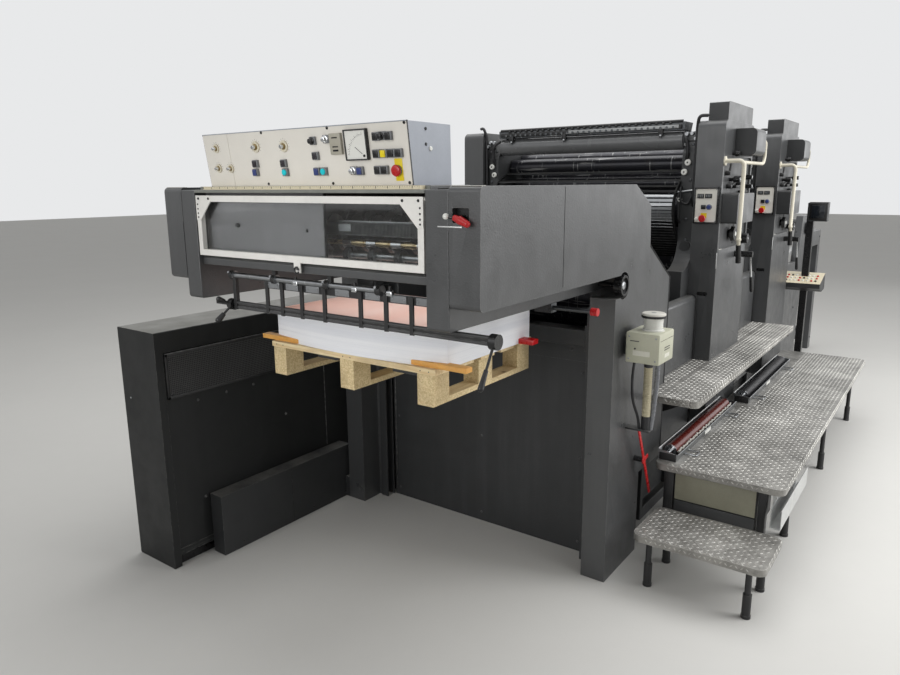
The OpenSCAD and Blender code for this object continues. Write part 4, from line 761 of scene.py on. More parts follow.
def dress_console_controls():
    build = Build("console_controls")
    for u, v, radius in RING_KNOBS:
        ring_knob(build, u, v, radius)
    for u, v, cap, is_round in BUTTONS:
        place = FACE @ at(u, v)
        build.box((-0.0125, -0.0135, 0), (0.0155, 0.0135, 0.010), BUTTON_GREY, place, 0.0012)
        if is_round:
            build.turned([(0, 0.009), (0.0105, 0.009), (0.0105, 0.013), (0.009, 0.0145), (0, 0.015)],
                         cap, place, 20)
        else:
            build.box((-0.010, -0.011, 0.009), (0.010, 0.011, 0.0138), cap, place, 0.0016)
    # Lever knob, key switches and the rotary switch among the top buttons
    for u, v, cap in ((0.095, 0.151, INK_BLACK), (0.160, 0.154, CHROME), (0.268, 0.049, CHROME),
                      (0.406, 0.154, INK_BLACK)):
        place = FACE @ at(u, v)
        build.box((-0.012, -0.0135, 0), (0.016, 0.0135, 0.008), BUTTON_GREY, place, 0.0012)
        build.turned([(0, 0.007), (0.0125, 0.007), (0.0125, 0.010), (0.009, 0.012), (0.0085, 0.0205),
                      (0.006, 0.0215), (0, 0.0215)], cap, place, 20)
        build.box((-0.0022, -0.012, 0.011), (0.0022, 0.008, 0.0205), cap, place @ turn("Z", 40), 0.001)
    # Counter with three windows
    build.box((0.180, 0.103, 0), (0.232, 0.171, 0.011), COUNTER, FACE, 0.0015)
    for low, high in ((0.155, 0.159), (0.126, 0.130), (0.113, 0.119)):
        build.box((0.193, low, 0.0108), (0.218, high, 0.0115), INK_BLACK, FACE)
    # Meter: black frame, white dial, scale marks round the lower right corner, needle and screw
    low, high = Vector((0.249, 0.082)), Vector((0.347, 0.180))
    for x0, y0, x1, y1 in frame_bars(*low, *high, 0.0045):
        build.box((x0, y0, 0), (x1, y1, 0.015), INK_BLACK, FACE, 0.002)
    build.box((low.x + 0.004, low.y + 0.004, 0), (high.x - 0.004, high.y - 0.004, 0.011), DIAL, FACE)
    pivot = FACE @ at(0.331, 0.096)
    for step in range(19):
        place = pivot @ turn("Z", 93 + 4.6 * step)
        build.box((0.064, -0.0004, 0.0108), (0.069 if step % 3 else 0.073, 0.0004, 0.0113), INK_BLACK, place)
    build.box((0.010, -0.0006, 0.0118), (0.046, 0.0006, 0.0124), INK_BLACK, pivot @ turn("Z", 143))
    build.turned([(0, 0.010), (0.0042, 0.010), (0.0038, 0.0145), (0, 0.015)], INK_BLACK, pivot, 14)
    # Stop button: grey collar and red mushroom
    place = FACE @ at(0.4555, 0.047)
    build.turned([(0, 0), (0.0165, 0), (0.0165, 0.006), (0.0125, 0.008), (0, 0.008)], BUTTON_GREY, place)
    build.turned([(0, 0.007), (0.012, 0.007), (0.0180, 0.0095), (0.0185, 0.0125), (0.0165, 0.0160), (0.012, 0.0178),
                  (0, 0.018)], RED, place)
    build.done()


def dress_console_housing():
    build = Build("control_console", HOUSING)
    x = CONSOLE[1].x
    for y, z in ((-3.122, 1.932), (-3.121, 1.885)):
        build.screw(side(x, y, z), 0.0055, INK_BLACK)
    build.turned([(0, 0), (0.0075, 0), (0.0075, 0.003), (0.006, 0.0045), (0, 0.0048)], DIAL, side(x, -3.098, 1.872))
    back = CONSOLE[1].y
    for u in (-0.45, 0.0, 0.45):
        for z in (1.782, 1.93):
            build.screw(at(u, back - 0.0055, z) @ turn("X", -90), 0.006, STEEL)
    build.done(bevel=0.0025)


def dress_ruler():
    build = Build("ruler_strip", CREAM)
    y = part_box("ruler_strip")[0].y
    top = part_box("ruler_strip")[1].z
    build.repeat(build.box((-0.5183, y - 0.0004, top - 0.0045), (-0.5177, y + 0.001, top - 0.001), INK_BLACK),
                 (0.010, 0, 0), 107)
    build.repeat(build.box((-0.5190, y - 0.0005, top - 0.009), (-0.5170, y + 0.001, top - 0.001), INK_BLACK),
                 (0.050, 0, 0), 21)
    build.done()


# Delivery front

def dress_guard():
    build = Build("front_guard_frame", GUARD)
    for x in (-1, 1):
        for dx, dz in ((0.556, 1.712), (0.492, 1.712), (0.562, 1.690), (0.562, 1.672), (0.562, 1.655), (0.562, 1.640)):
            build.screw(front(x * dx, FRONT_END, dz), 0.0036 if dz < 1.7 else 0.005, INK_BLACK)
    # Black pull ring in the latch, lying against the apron
    build.tube([Vector((-0.003 + 0.011 * math.cos(a), FRONT_END - 0.003, 1.463 + 0.011 * math.sin(a)))
                for a in (math.tau * step / 16 for step in range(16))], 0.0032, INK_BLACK, 8)
    build.done(bevel=0.0012)


def dress_front_rail():
    dress("delivery_front_rail", GREY, 0.003, paints=(
        (RAIL_GREY, lambda c, n: c.z > 1.733 and c.y < FRONT_END + 0.1),
        (INNER, lambda c, n: c.x < 0.0925 and FRONT_END + 0.051 < c.y < FRONT_END + 0.0585 and 1.487 < c.z < 1.733)))
    build = Build()
    sheet = FRONT_END + 0.052
    for x, z, size in ((0.006, 1.600, 0.006), (-0.545, 1.70, 0.004), (0.075, 1.70, 0.004), (0.075, 1.51, 0.004)):
        build.screw(front(x, sheet, z), size, INK_BLACK)
    build.turned([(0, 0), (0.009, 0), (0.009, 0.008), (0.006, 0.012), (0, 0.012)], INK_BLACK,
                 front(-0.380, sheet, 1.610), 16)
    # Ribbed blower bar, the folded edge of the sheet, and sleeves along the gripper shaft
    build.box((0.092, sheet - 0.002, 1.488), (0.096, sheet + 0.010, 1.733), BLACK)
    build.repeat(build.box((0.102, -3.1085, 1.590), (0.1045, -3.1045, 1.630), DARK), (0.0062, 0, 0), 75)
    build.box((0.100, -3.109, 1.634), (0.578, -3.100, 1.638), STEEL)
    build.box((0.100, -3.1105, 1.600), (0.160, -3.108, 1.625), BUTTON_GREY, soft=0.001)
    for step in range(8):
        x = 0.112 + 0.057 * step
        build.rod((x, -3.095, 1.560), (x + 0.044, -3.095, 1.560), 0.0125, (CHROME, GOLDEN)[step % 2])
    build.done("delivery_inner_fittings")


def dress_inner_rollers():
    shafts = ((0.150, 1.514), (0.260, 1.560), (0.430, 1.600), (0.600, 1.560), (0.780, 1.600), (0.960, 1.560),
              (1.120, 1.600))

    def on_disc(centre, normal):
        return any(math.hypot(centre.y - FRONT_END - y, centre.z - z) > 0.0135
                   and math.hypot(centre.y - FRONT_END - y, centre.z - z) < 0.05 for y, z in shafts)

    dress("delivery_rollers", STEEL, 0.002, paints=(
        (DARK_RUBBER, on_disc),
        (DARK, lambda c, n: -3.1055 < c.y < -3.0905 and 1.58 < c.z < 1.64),
        (GOLDEN, lambda c, n: math.hypot(c.y + 3.095, c.z - 1.560) < 0.0095),
    ))


def dress_stops():
    y = FRONT_END + 0.060
    build = Build("pile_stop_grille", BLACK)
    build.paint(STEEL, lambda c, n: math.hypot(c.y - y, c.z - 1.410) < 0.0112)
    build.paint(WORN_BLACK, lambda c, n: 1.270 < c.z < 1.302 and c.y > y - 0.0075 and abs(n.x) < 0.5
                and math.hypot(c.y - y, min(abs(c.z - 1.280), abs(c.z - 1.300))) < 0.007)
    build.box((-0.570, y - 0.003, 1.283), (0.770, y + 0.003, 1.297), BLACK)
    # Stamped tabs with screws along the cross bar, and adjusting blocks with thumb screws
    for x in (-0.205, -0.100, 0.010, 0.160, 0.305, 0.420, 0.530):
        build.box((x - 0.034, y - 0.0045, 1.375), (x + 0.034, y - 0.0008, 1.399), BUTTON_GREY, soft=0.0012)
        for dx in (-0.026, 0.026):
            build.screw(front(x + dx, y - 0.0045, 1.387), 0.0035, STEEL)
    for x in (-0.075, 0.225, 0.385):
        build.box((x - 0.012, y - 0.012, 1.396), (x + 0.012, y + 0.004, 1.412), CHROME, soft=0.002)
        build.rod((x, y - 0.004, 1.410), (x, y - 0.004, 1.428), 0.006, BLACK, sides=12)
    for x in (-0.448, -0.196, 0.088, 0.336):
        build.rod((x, y - 0.014, 1.418), (x, y - 0.026, 1.424), 0.005, STEEL, sides=10)
    build.done(bevel=0.0012)


def dress_levers():
    y = FRONT_END + 0.700
    build = Build("delivery_levers", INK_BLACK)
    build.paint(DULL, lambda c, n: c.x > 0.58 and math.hypot(c.y - y, c.z - 1.290) < 0.0095)
    build.paint(RED, lambda c, n: c.x > 0.8195 and abs(c.y - y) < 0.02 and abs(c.z - 1.290) < 0.02)
    build.done(bevel=0.001)
    # White ball and red handle in the recess of the cover, with the worn strip under them
    build = Build()
    x, y = 0.684, FRONT_END
    build.box((x, y + 0.0215, 1.648), (x + 0.060, y + 0.0225, 1.692), INK_BLACK)
    build.rod((x + 0.030, y + 0.022, 1.665), (x + 0.020, y - 0.012, 1.664), 0.006, INK_BLACK, sides=14)
    build.rod((x + 0.020, y - 0.012, 1.664), (x - 0.006, y - 0.020, 1.667), 0.0055, INK_BLACK, sides=14)
    build.ball((x - 0.008, y - 0.022, 1.668), 0.0095, DIAL)
    build.rod((x + 0.014, y - 0.010, 1.664), (x + 0.040, y - 0.014, 1.656), 0.009, RED, 0.0125)
    build.rod((x + 0.036, y - 0.014, 1.658), (x + 0.064, y - 0.017, 1.647), 0.0130, RED, 0.0105)
    build.ball((x + 0.064, y - 0.017, 1.647), 0.0105, RED)
    build.box((x - 0.055, y - 0.0012, 1.634), (x + 0.035, y + 0.0005, 1.638), RAIL, soft=0.0004)
    build.done("recess_lever")


def dress_side_covers():
    build = Build("delivery_side_covers", GREY)
    for x in (-1, 1):
        # Seam across the long cover, the joint with the arm, and a pale strip along the top edge as a painted highlight
        out = x * (COVER_OUT + 0.0003)
        build.box((out - 0.0006, -2.6955, 1.400), (out + 0.0006, -2.6940, 1.750), SEAM)
        build.box((x * 0.6705 - 0.0005, FRONT_END - 0.0004, 1.39), (x * 0.6705 + 0.0005, FRONT_END + 0.001, 1.62), SEAM)
        build.box((x * 0.727 - 0.054, FRONT_END + 0.010, 1.7545), (x * 0.727 + 0.054, FRONT_END + 0.034, 1.7565),
                  PALE_PLASTIC_AND_HIGHLIGHT, soft=0.0008)
    build.done(bevel=0.006, segments=3)


def dress_handwheel():
    low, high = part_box("handwheel")
    y0, z0, grip = (low.y + high.y) / 2, (low.z + high.z) / 2, (high.z - low.z) / 2 - 0.0002
    build = Build("handwheel", INK_BLACK)
    x = high.x
    build.turned([(0, -0.012), (0.018, -0.012), (0.018, -0.006), (0.012, -0.003), (0, -0.003)], STEEL, side(x, y0, z0))
    for step in range(12):
        angle = math.tau * step / 12
        y, z = y0 + grip * math.cos(angle), z0 + grip * math.sin(angle)
        build.rod((x - 0.030, y, z), (x - 0.006, y, z), 0.0035, INK_BLACK, sides=8)
    build.done(bevel=0.002)


def dress_pile():
    dress("paper_pile", PAPER, 0.0, paints=((PRINT, lambda c, n: n.z > 0.9),))
    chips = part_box("pallet_skids")
    build = Build("pallet_skids", WOOD_Y)
    build.paint(CHIPBOARD, lambda c, n: chips[0].z + 0.024 < c.z < chips[1].z - 0.001 and abs(n.z) < 0.5)
    build.done(bevel=0.002)
    build = Build("pallet_deck", WOOD_X)
    low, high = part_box("pallet_deck")
    for x in (0.030, 0.070, 0.425, 0.465, 0.820, 0.860):
        build.screw(front(low.x + x, low.y, low.z + 0.011), 0.0025, DULL)
    # Painted lath under the front of the pile
    build.box((-0.552, low.y + 0.020, high.z), (0.546, low.y + 0.060, high.z + 0.020), LATH, soft=0.002)
    build.box((0.300, -2.425, high.z), (0.515, -2.375, high.z + 0.022), RED, soft=0.002)
    build.done(bevel=0.002)


# Towers and printing units

def control_panel(build, y):
    """Push-button panel: black frame, cream plate, displays, dial and stop button."""
    x, face = TOWER_IN + 0.008, y - TOWER_HALF - 0.014
    place = front(x, face, 1.543)
    w, h = 0.129, 0.192
    for x0, z0, x1, z1 in frame_bars(0, 0, w, h, 0.008):
        build.box((x0, z0, -0.0137), (x1, z1, 0.004), INK_BLACK, place, 0.0015)
    build.box((0.004, 0.004, -0.0137), (w - 0.004, h - 0.004, 0.0), PANEL, place)
    for x0, x1 in ((0.016, 0.052), (0.057, 0.094)):
        build.box((x0, 0.134, -0.001), (x1, 0.158, 0.003), INK_BLACK, place, 0.001)
        for step in range(3):
            build.box((x0 + 0.006 + 0.009 * step, 0.139, 0.0028), (x0 + 0.011 + 0.009 * step, 0.153, 0.0034),
                      BUTTON_GREY, place)
    build.box((0.040, 0.076, -0.001), (0.064, 0.099, 0.006), INK_BLACK, place, 0.0015)
    build.turned([(0, -0.001), (0.0155, -0.001), (0.0155, 0.003), (0.012, 0.006), (0, 0.006)], BUTTON_GREY,
                 place @ at(0.082, 0.088), 20)
    build.turned([(0, 0.005), (0.0115, 0.005), (0.010, 0.014), (0, 0.0145)], BLUE, place @ at(0.082, 0.088), 20)
    build.box((0.040, 0.030, -0.001), (0.072, 0.056, 0.0008), YELLOW, place)
    build.turned([(0, 0), (0.009, 0), (0.009, 0.007), (0.006, 0.009), (0, 0.009)], DIAL, place @ at(0.017, 0.024), 16)
    build.turned([(0, 0), (0.012, 0), (0.012, 0.010), (0.018, 0.013), (0.019, 0.018), (0.016, 0.0225), (0, 0.024)],
                 RED, place @ at(0.052, 0.027), 24)
    for u, v in ((0.012, h - 0.012), (w - 0.012, h - 0.012), (w - 0.012, 0.012)):
        build.screw(place @ at(u, v), 0.003, STEEL)


def dress_tower_panels():
    build = Build("tower_control_panels")
    for y in UNITS:
        control_panel(build, y)
    build.done()


def dress_towers():
    for number, y in enumerate(UNITS):
        node = f"unit_{number + 1}_towers"
        build = Build(node, GREY)
        build.paint(RECESS, lambda c, n: c.x > 0.5 and abs(c.x - (TOWER_OUT - 0.012)) < 0.002 and 1.35 < c.z < 1.95)
        build.paint(INK_BLACK, lambda c, n, y=y: (
            y - 0.2995 < c.y < y - 0.280 and 1.14 < c.z < 1.17 and 0.73 < c.x < 0.81))
        for x in (-1, 1):
            build.box((x * 0.7625 - 0.0725, y + 0.2995, 1.198), (x * 0.7625 + 0.0725, y + 0.3006, 1.201), SEAM)
        # Rubbed strip on the front edge
        build.box((TOWER_OUT - 0.003, y - TOWER_HALF - 0.0012, 1.300),
                  (TOWER_OUT + 0.001, y - TOWER_HALF + 0.003, 1.385), RAIL, soft=0.001)
        # Pale line round the recess's lower corner: a painted highlight along its edge
        build.tube(curve_points([(TOWER_OUT - 0.002, y - 0.280, 1.60), (TOWER_OUT - 0.002, y - 0.280, 1.400),
                                 (TOWER_OUT - 0.002, y - 0.215, 1.400)], 0.025), 0.0022, PALE_PLASTIC_AND_HIGHLIGHT, 8)
        # Dark trim where the bed cover meets the tower, and along the cover's rounded top
        edge = y - TOWER_HALF - 0.0065
        line = curve_points([(TOWER_IN + 0.001, edge, 1.148), (0.743, edge, 1.148), (0.743, edge, 0.402)], 0.03, 6)
        build.tube(line, 0.0045, TRIM, 8)
        build.done(bevel=0.006, segments=3)


def dress_tower_boxes():
    build = Build("tower_boxes", GREY)
    # Faces that look towards the delivery end take the darker frame enamel: painted shade on the box fronts
    build.paint(DARK, lambda c, n: n.y < -0.7)
    # Top faces take pale worn metal, made lighter as a painted sheen on top
    build.paint(SCRATCHED_AND_SHEEN, lambda c, n: c.z > TOWER_TOP - 0.001 and n.z > 0.7)
    for y in UNITS:
        for z in (1.565, 1.68):
            build.screw(side(0.919, y - 0.25, z), 0.005, DARK)
    build.done(bevel=0.004, segments=3)


def dress_tower_knobs():
    build = Build("tower_knobs", INK_BLACK)
    for y in UNITS:
        hub = side(TOWER_OUT - 0.012 + 0.036, y - 0.048, 1.476)
        build.turned([(0, 0), (0.0135, 0), (0.0125, 0.003), (0, 0.0035)], DIAL, hub, 18)
        for dy, z, out in ((-0.115, 1.776, 0.058), (0.107, 1.789, 0.066), (0.160, 1.738, 0.056), (0.145, 1.438, 0.060)):
            build.turned([(0, 0), (0.006, 0), (0.005, 0.002), (0, 0.0022)], CHROME,
                         side(TOWER_OUT - 0.012 + out, y + dy, z), 14)
    build.done(bevel=0.0015)
    # Small links and levers between the knobs
    build = Build()
    for y in UNITS:
        x = TOWER_OUT - 0.012
        for dy, z, dy2, z2 in ((-0.16, 1.74, -0.05, 1.765), (0.03, 1.755, 0.15, 1.745), (-0.20, 1.81, -0.18, 1.86)):
            build.rod((x + 0.02, y + dy, z), (x + 0.02, y + dy2, z2), 0.006, BLACK, sides=12)
            build.turned([(0, 0), (0.013, 0), (0.013, 0.020), (0.009, 0.026), (0, 0.026)], BLACK,
                         side(x, y + dy, z), 16)
        build.box((x, y - 0.075, 1.728), (x + 0.030, y + 0.010, 1.745), BLACK, soft=0.003)
        build.box((x, y + 0.075, 1.703), (x + 0.024, y + 0.20, 1.715), BLACK, soft=0.002)
        # Slotted plate low in the recess
        build.box((x - 0.0005, y + 0.03, 1.415), (x + 0.003, y + 0.10, 1.53), DARK, soft=0.001)
        build.box((x + 0.002, y + 0.06, 1.43), (x + 0.0035, y + 0.067, 1.515), INK_BLACK)
    build.done("recess_linkage")


def dress_levers_and_rails():
    for number in (1, 2):
        build = Build(f"unit_{number}_lever", INK_BLACK)
        build.paint(CHROME, lambda c, n: 1.217 < c.z < 1.3335 and c.x > 0.9)
        build.done(bevel=0.0)
    dress("grab_rails", WHITE, 0.0, paints=((INK_BLACK, lambda c, n: c.z < 1.4335),))


def dress_unit_rollers():
    """Cylinders, guard tube, round knobs and hoses at the ends of the rollers."""
    for number, y in enumerate(UNITS):
        node = f"unit_{number + 1}_rollers"
        build = Build(node, INKY_ROLLER)
        # The guard tube takes the grey enamel whose colour is a painted sheen
        build.paint(GUARD_TUBE_SHEEN, lambda c, n, y=y: math.hypot(c.y - y + 0.205, c.z - 1.990) < 0.0505)
        build.done(bevel=0.002)
        build = Build()
        wall = y - FRAME_FRONT
        for x in (-1, 1):
            for u, z, size in ((0.637, 1.869, 0.017), (0.620, 1.818, 0.017), (0.604, 1.669, 0.012)):
                place = front(x * u, wall, z)
                build.turned([(0, 0), (0.008, 0), (0.008, 0.014), (size, 0.014), (size, 0.020), (size * 0.85, 0.024),
                              (0, 0.024)], DIAL, place, 22)
                build.turned([(0, 0.023), (0.0045, 0.023), (0.004, 0.027), (0, 0.027)], INK_BLACK, place, 12)
            # Hoses clipped to the side frame: from the fountain down beside the tower, and round the slats
            near = wall - 0.012
            build.tube(curve_points([(x * 0.728, y - 0.262, 2.112), (x * 0.690, y - 0.290, 2.112),
                                     (x * 0.678, near - 0.006, 2.06), (x * 0.678, near, 1.66),
                                     (x * 0.672, wall + 0.01, 1.63)], 0.04), 0.009, DARK_RUBBER)
            build.tube(curve_points([(x * 0.596, y - 0.240, 2.028), (x * 0.618, near - 0.010, 2.005),
                                     (x * 0.632, near - 0.004, 1.955), (x * 0.630, near, 1.905),
                                     (x * 0.622, wall + 0.008, 1.880)], 0.03), 0.010, DARK_RUBBER)
            build.tube(curve_points([(x * 0.606, wall + 0.01, 1.735), (x * 0.606, near - 0.012, 1.735),
                                     (x * 0.612, near - 0.012, 1.655), (x * 0.650, near - 0.008, 1.640),
                                     (x * 0.668, near, 1.690), (x * 0.668, wall + 0.01, 1.720)], 0.03), 0.0065,
                       DARK_RUBBER)
            build.tube(curve_points([(x * 0.594, wall + 0.005, 1.700), (x * 0.597, near - 0.004, 1.690),
                                     (x * 0.601, near - 0.004, 1.560), (x * 0.604, wall + 0.008, 1.540)], 0.02),
                       0.006, DARK_RUBBER)
            build.rod((x * 0.56, near - 0.002, 1.705), (x * 0.689, near - 0.002, 1.722), 0.0055, STEEL, sides=12)
            for u, z in ((0.645, 1.445), (0.612, 1.965), (0.655, 1.965), (0.650, 1.775), (0.640, 1.560)):
                build.screw(front(x * u, wall, z), 0.009, DULL)
            # Clamps and nuts at the fountain's end
            for u, z in ((0.622, 2.020), (0.650, 2.022), (0.672, 1.995)):
                build.turned([(0, 0), (0.012, 0), (0.012, 0.016), (0.009, 0.022), (0, 0.022)], STEEL,
                             front(x * u, wall, z), 12)
            build.box((x * 0.648 - 0.032, wall - 0.010, 1.978), (x * 0.648 + 0.032, wall + 0.001, 1.990), BLACK,
                      soft=0.002)
        build.done(f"unit_{number + 1}_roller_fittings")


def dress_fountains():
    build = Build("ink_fountains", DULL)
    for y in UNITS:
        wall = y - 0.245
        for x in range(-13, 14):
            build.turned([(0, 0), (0.007, 0), (0.007, 0.008), (0.004, 0.011), (0, 0.011)], BLACK,
                         front(x * 0.040, wall - 0.001, 2.083), 10)
        # Bar with its rubbed middle, hung brackets and the long rail on top
        build.box((-0.585, wall - 0.013, 2.052), (0.585, wall - 0.001, 2.075), BLACK, soft=0.003)
        build.box((-0.10, wall - 0.0145, 2.055), (0.57, wall - 0.0125, 2.073), SCRATCHED_AND_SHEEN, soft=0.0006)
        build.rod((-0.588, wall + 0.004, 2.092), (0.588, wall + 0.004, 2.092), 0.009, BLACK)
        for x in (-0.50, -0.13, 0.47):
            build.box((x - 0.014, wall - 0.018, 2.020), (x + 0.014, wall - 0.002, 2.056), BLACK, soft=0.002)
            build.ball((x, wall - 0.014, 2.018), 0.008, STEEL)
    build.done(bevel=0.0012)


def dress_slats():
    # Painted highlights: bright steel on the slats between 1.56 and 1.71 m, on their upward faces, and on the front
    # edges of the steep top slats
    dress("slat_guards", SLAT, 0.001, paints=(
        (STEEL, lambda c, n: abs(c.x) < 0.592 and abs(n.x) < 0.1 and 1.62 < c.z < 1.71),
        (SLAT_HIGHLIGHT_STEEL, lambda c, n: abs(c.x) < 0.592 and abs(n.x) < 0.1 and (1.56 < c.z <= 1.62 or (
            n.y < -0.8 if c.z > 1.76 else n.z > 0.8))),))


# Platforms

def lozenges(build, place, width, length, finish, pitch=0.021):
    """Raised bars of tread plate on a rectangle, in two turned rows that alternate."""
    across, along = int((width - 0.002) / pitch), int((length - 0.002) / pitch)
    start_x, start_y = (width - (across - 1) * pitch) / 2, (length - (along - 1) * pitch) / 2
    columns = []
    for i in range(2):
        for j in range(2):
            made = bmesh.ops.create_cone(build.bm, cap_ends=True, segments=4, radius1=1.0, radius2=0.5,
                                         depth=1.0)["verts"]
            shape = (at(start_x + i * pitch, start_y + j * pitch, 0.0006) @ turn("Z", 45 if (i + j) % 2 else -45)
                     @ Matrix.Diagonal((0.0095, 0.0030, 0.0020, 1.0)))
            bmesh.ops.transform(build.bm, matrix=place @ shape, verts=made)
            build.coat(made, finish)
            columns.append((i, j, made))
    turned_x = (place.to_3x3() @ Vector((1, 0, 0))) * pitch * 2
    turned_y = (place.to_3x3() @ Vector((0, 1, 0))) * pitch * 2
    for i, j, made in columns:
        before = set(build.bm.verts) - set(made)
        count = (across - 1 - i) // 2
        if count > 0:
            build.repeat(made, turned_x, count)
        row = [v for v in build.bm.verts if v not in before]
        count = (along - 1 - j) // 2
        if count > 0:
            build.repeat(row, turned_y, count)


def tread_bars(node, *fields):
    """The raised bars on the faces of a tread-plate piece; each field is its place, width and length."""
    build = Build()
    for place, width, length in fields:
        lozenges(build, place, width, length, TREAD_BAR)
    build.done(node + "_bars")


def dress_platforms():
    low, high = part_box("lower_platform")
    dress("lower_platform", TREAD, 0.006, segments=3)
    tread_bars(
        "lower_platform",
        (at(low.x + 0.108, low.y + 0.008, high.z), high.x - low.x - 0.114, 1.150),
        (at(low.x + 0.157, low.y + 1.170, high.z), high.x - low.x - 0.163, high.y - low.y - 1.178),
        (side(high.x, low.y + 0.05, low.z + 0.001), high.y - low.y - 0.1, 0.031),
        (front(low.x + 0.05, low.y, low.z + 0.001), high.x - low.x - 0.1, 0.031))
    low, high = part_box("upper_platform")
    dress("upper_platform", TREAD, 0.006, segments=3)
    tread_bars(
        "upper_platform",
        (at(TOWER_OUT + 0.006, low.y + 0.008, high.z), 0.182, high.y - low.y - 0.016),
        (at(0.784, low.y + 0.006, high.z), 0.060, 0.245),
        (at(0.744, -1.536, high.z), 0.090, 0.552), (at(0.744, -0.366, high.z), 0.090, 0.732),
        (side(high.x, low.y + 0.04, low.z + 0.001), high.y - low.y - 0.08, 0.031),
        (front(TOWER_OUT + 0.03, low.y, low.z + 0.001), 0.13, 0.031))
    low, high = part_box("step_stool")
    build = Build("step_stool", TREAD)
    build.paint(BLACK, lambda c, n: c.z < high.z - 0.033)
    # The plate gives way a little, so that the bars on its edge stay within its size
    for vert in build.bm.verts:
        if vert.co.x > high.x - 0.001:
            vert.co.x -= 0.0018
    build.done(bevel=0.005, segments=3)
    tread_bars(
        "step_stool",
        (at(low.x + 0.006, low.y + 0.006, high.z), high.x - low.x - 0.014, high.y - low.y - 0.012),
        (side(high.x - 0.0018, low.y + 0.05, high.z - 0.031), high.y - low.y - 0.1, 0.031),
        (front(low.x + 0.05, low.y, high.z - 0.031), high.x - low.x - 0.1, 0.031))


def dress_trays():
    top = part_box("lower_platform")[1].z
    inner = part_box("lower_platform")[0].x
    trays = ((inner + 0.007, -1.745, 1.045), (inner + 0.055, -0.580, 1.180))
    dress("roller_trays", STEEL, 0.0008)
    dress("spare_rollers", RUBBER, 0.002, paints=(
        (DARK_RUBBER, lambda c, n: c.y > -0.6),
        (CHROME, lambda c, n: any(math.hypot(c.x - x - 0.037, c.z - top - 0.034) < 0.0106 for x, y, length in trays))))
    build = Build()
    for x, y, length in trays:
        # Rolled edges of the sheet, black end plates, flat hooks, and a pale plate on the outer wall
        for dx, dz, radius, finish in ((-0.004, 0.0545, 0.0032, RAIL), (0.090, 0.038, 0.003, STEEL)):
            build.rod((x + dx, y + 0.003, top + dz), (x + dx, y + length - 0.003, top + dz), radius, finish, sides=10)
        for end in (y - 0.0012, y + length - 0.0008):
            build.box((x + 0.002, end, top + 0.003), (x + 0.084, end + 0.002, top + 0.040), BLACK, soft=0.0008)
        for dy in (0.16, length - 0.17):
            build.tube(curve_points([(x + 0.080, y + dy - 0.03, top + 0.006), (x + 0.142, y + dy - 0.03, top + 0.006),
                                     (x + 0.142, y + dy + 0.03, top + 0.006), (x + 0.080, y + dy + 0.03, top + 0.006)],
                                    0.012, 3), 0.0038, STEEL, 8)
        build.box((x + 0.0885, y + 0.44, top + 0.012), (x + 0.0905, y + 0.54, top + 0.032), DIAL)
    # Crinkled film beside the near roller
    x, y, length = trays[0]
    film = [(x + 0.074 + 0.004 * math.sin(i * 1.9), y + 0.06 + i * 0.0158, top + 0.036 + 0.005 * math.sin(i * 2.7))
            for i in range(60)]
    build.tube(film, 0.0055, PALE_PLASTIC_AND_HIGHLIGHT, 6)
    build.done("roller_tray_fittings")


def dress_stands():
    dress("platform_stands", BLACK, 0.002)
    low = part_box("lower_platform")[0]
    build = Build()
    y = low.y + 0.055
    x0, x1 = low.x + 0.090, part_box("lower_platform")[1].x - 0.120
    # Beige panel over a grey one on the front of the box under the platform, between black posts
    build.box((x0 + 0.004, y - 0.006, 0.269), (x1 - 0.004, y - 0.0003, 0.398), BEIGE, soft=0.002)
    build.box((x0 + 0.004, y - 0.005, 0.186), (x1 - 0.004, y - 0.0003, 0.262), RECESS, soft=0.002)
    build.box((x0 - 0.052, y - 0.002, 0.03), (x0 - 0.004, y + 0.040, 0.398), BLACK, soft=0.003)
    build.box((x1 + 0.006, y - 0.002, 0.18), (x1 + 0.040, y + 0.040, 0.398), BLACK, soft=0.003)
    build.done("under_platform_panels")


# Cabinet, back panel and column

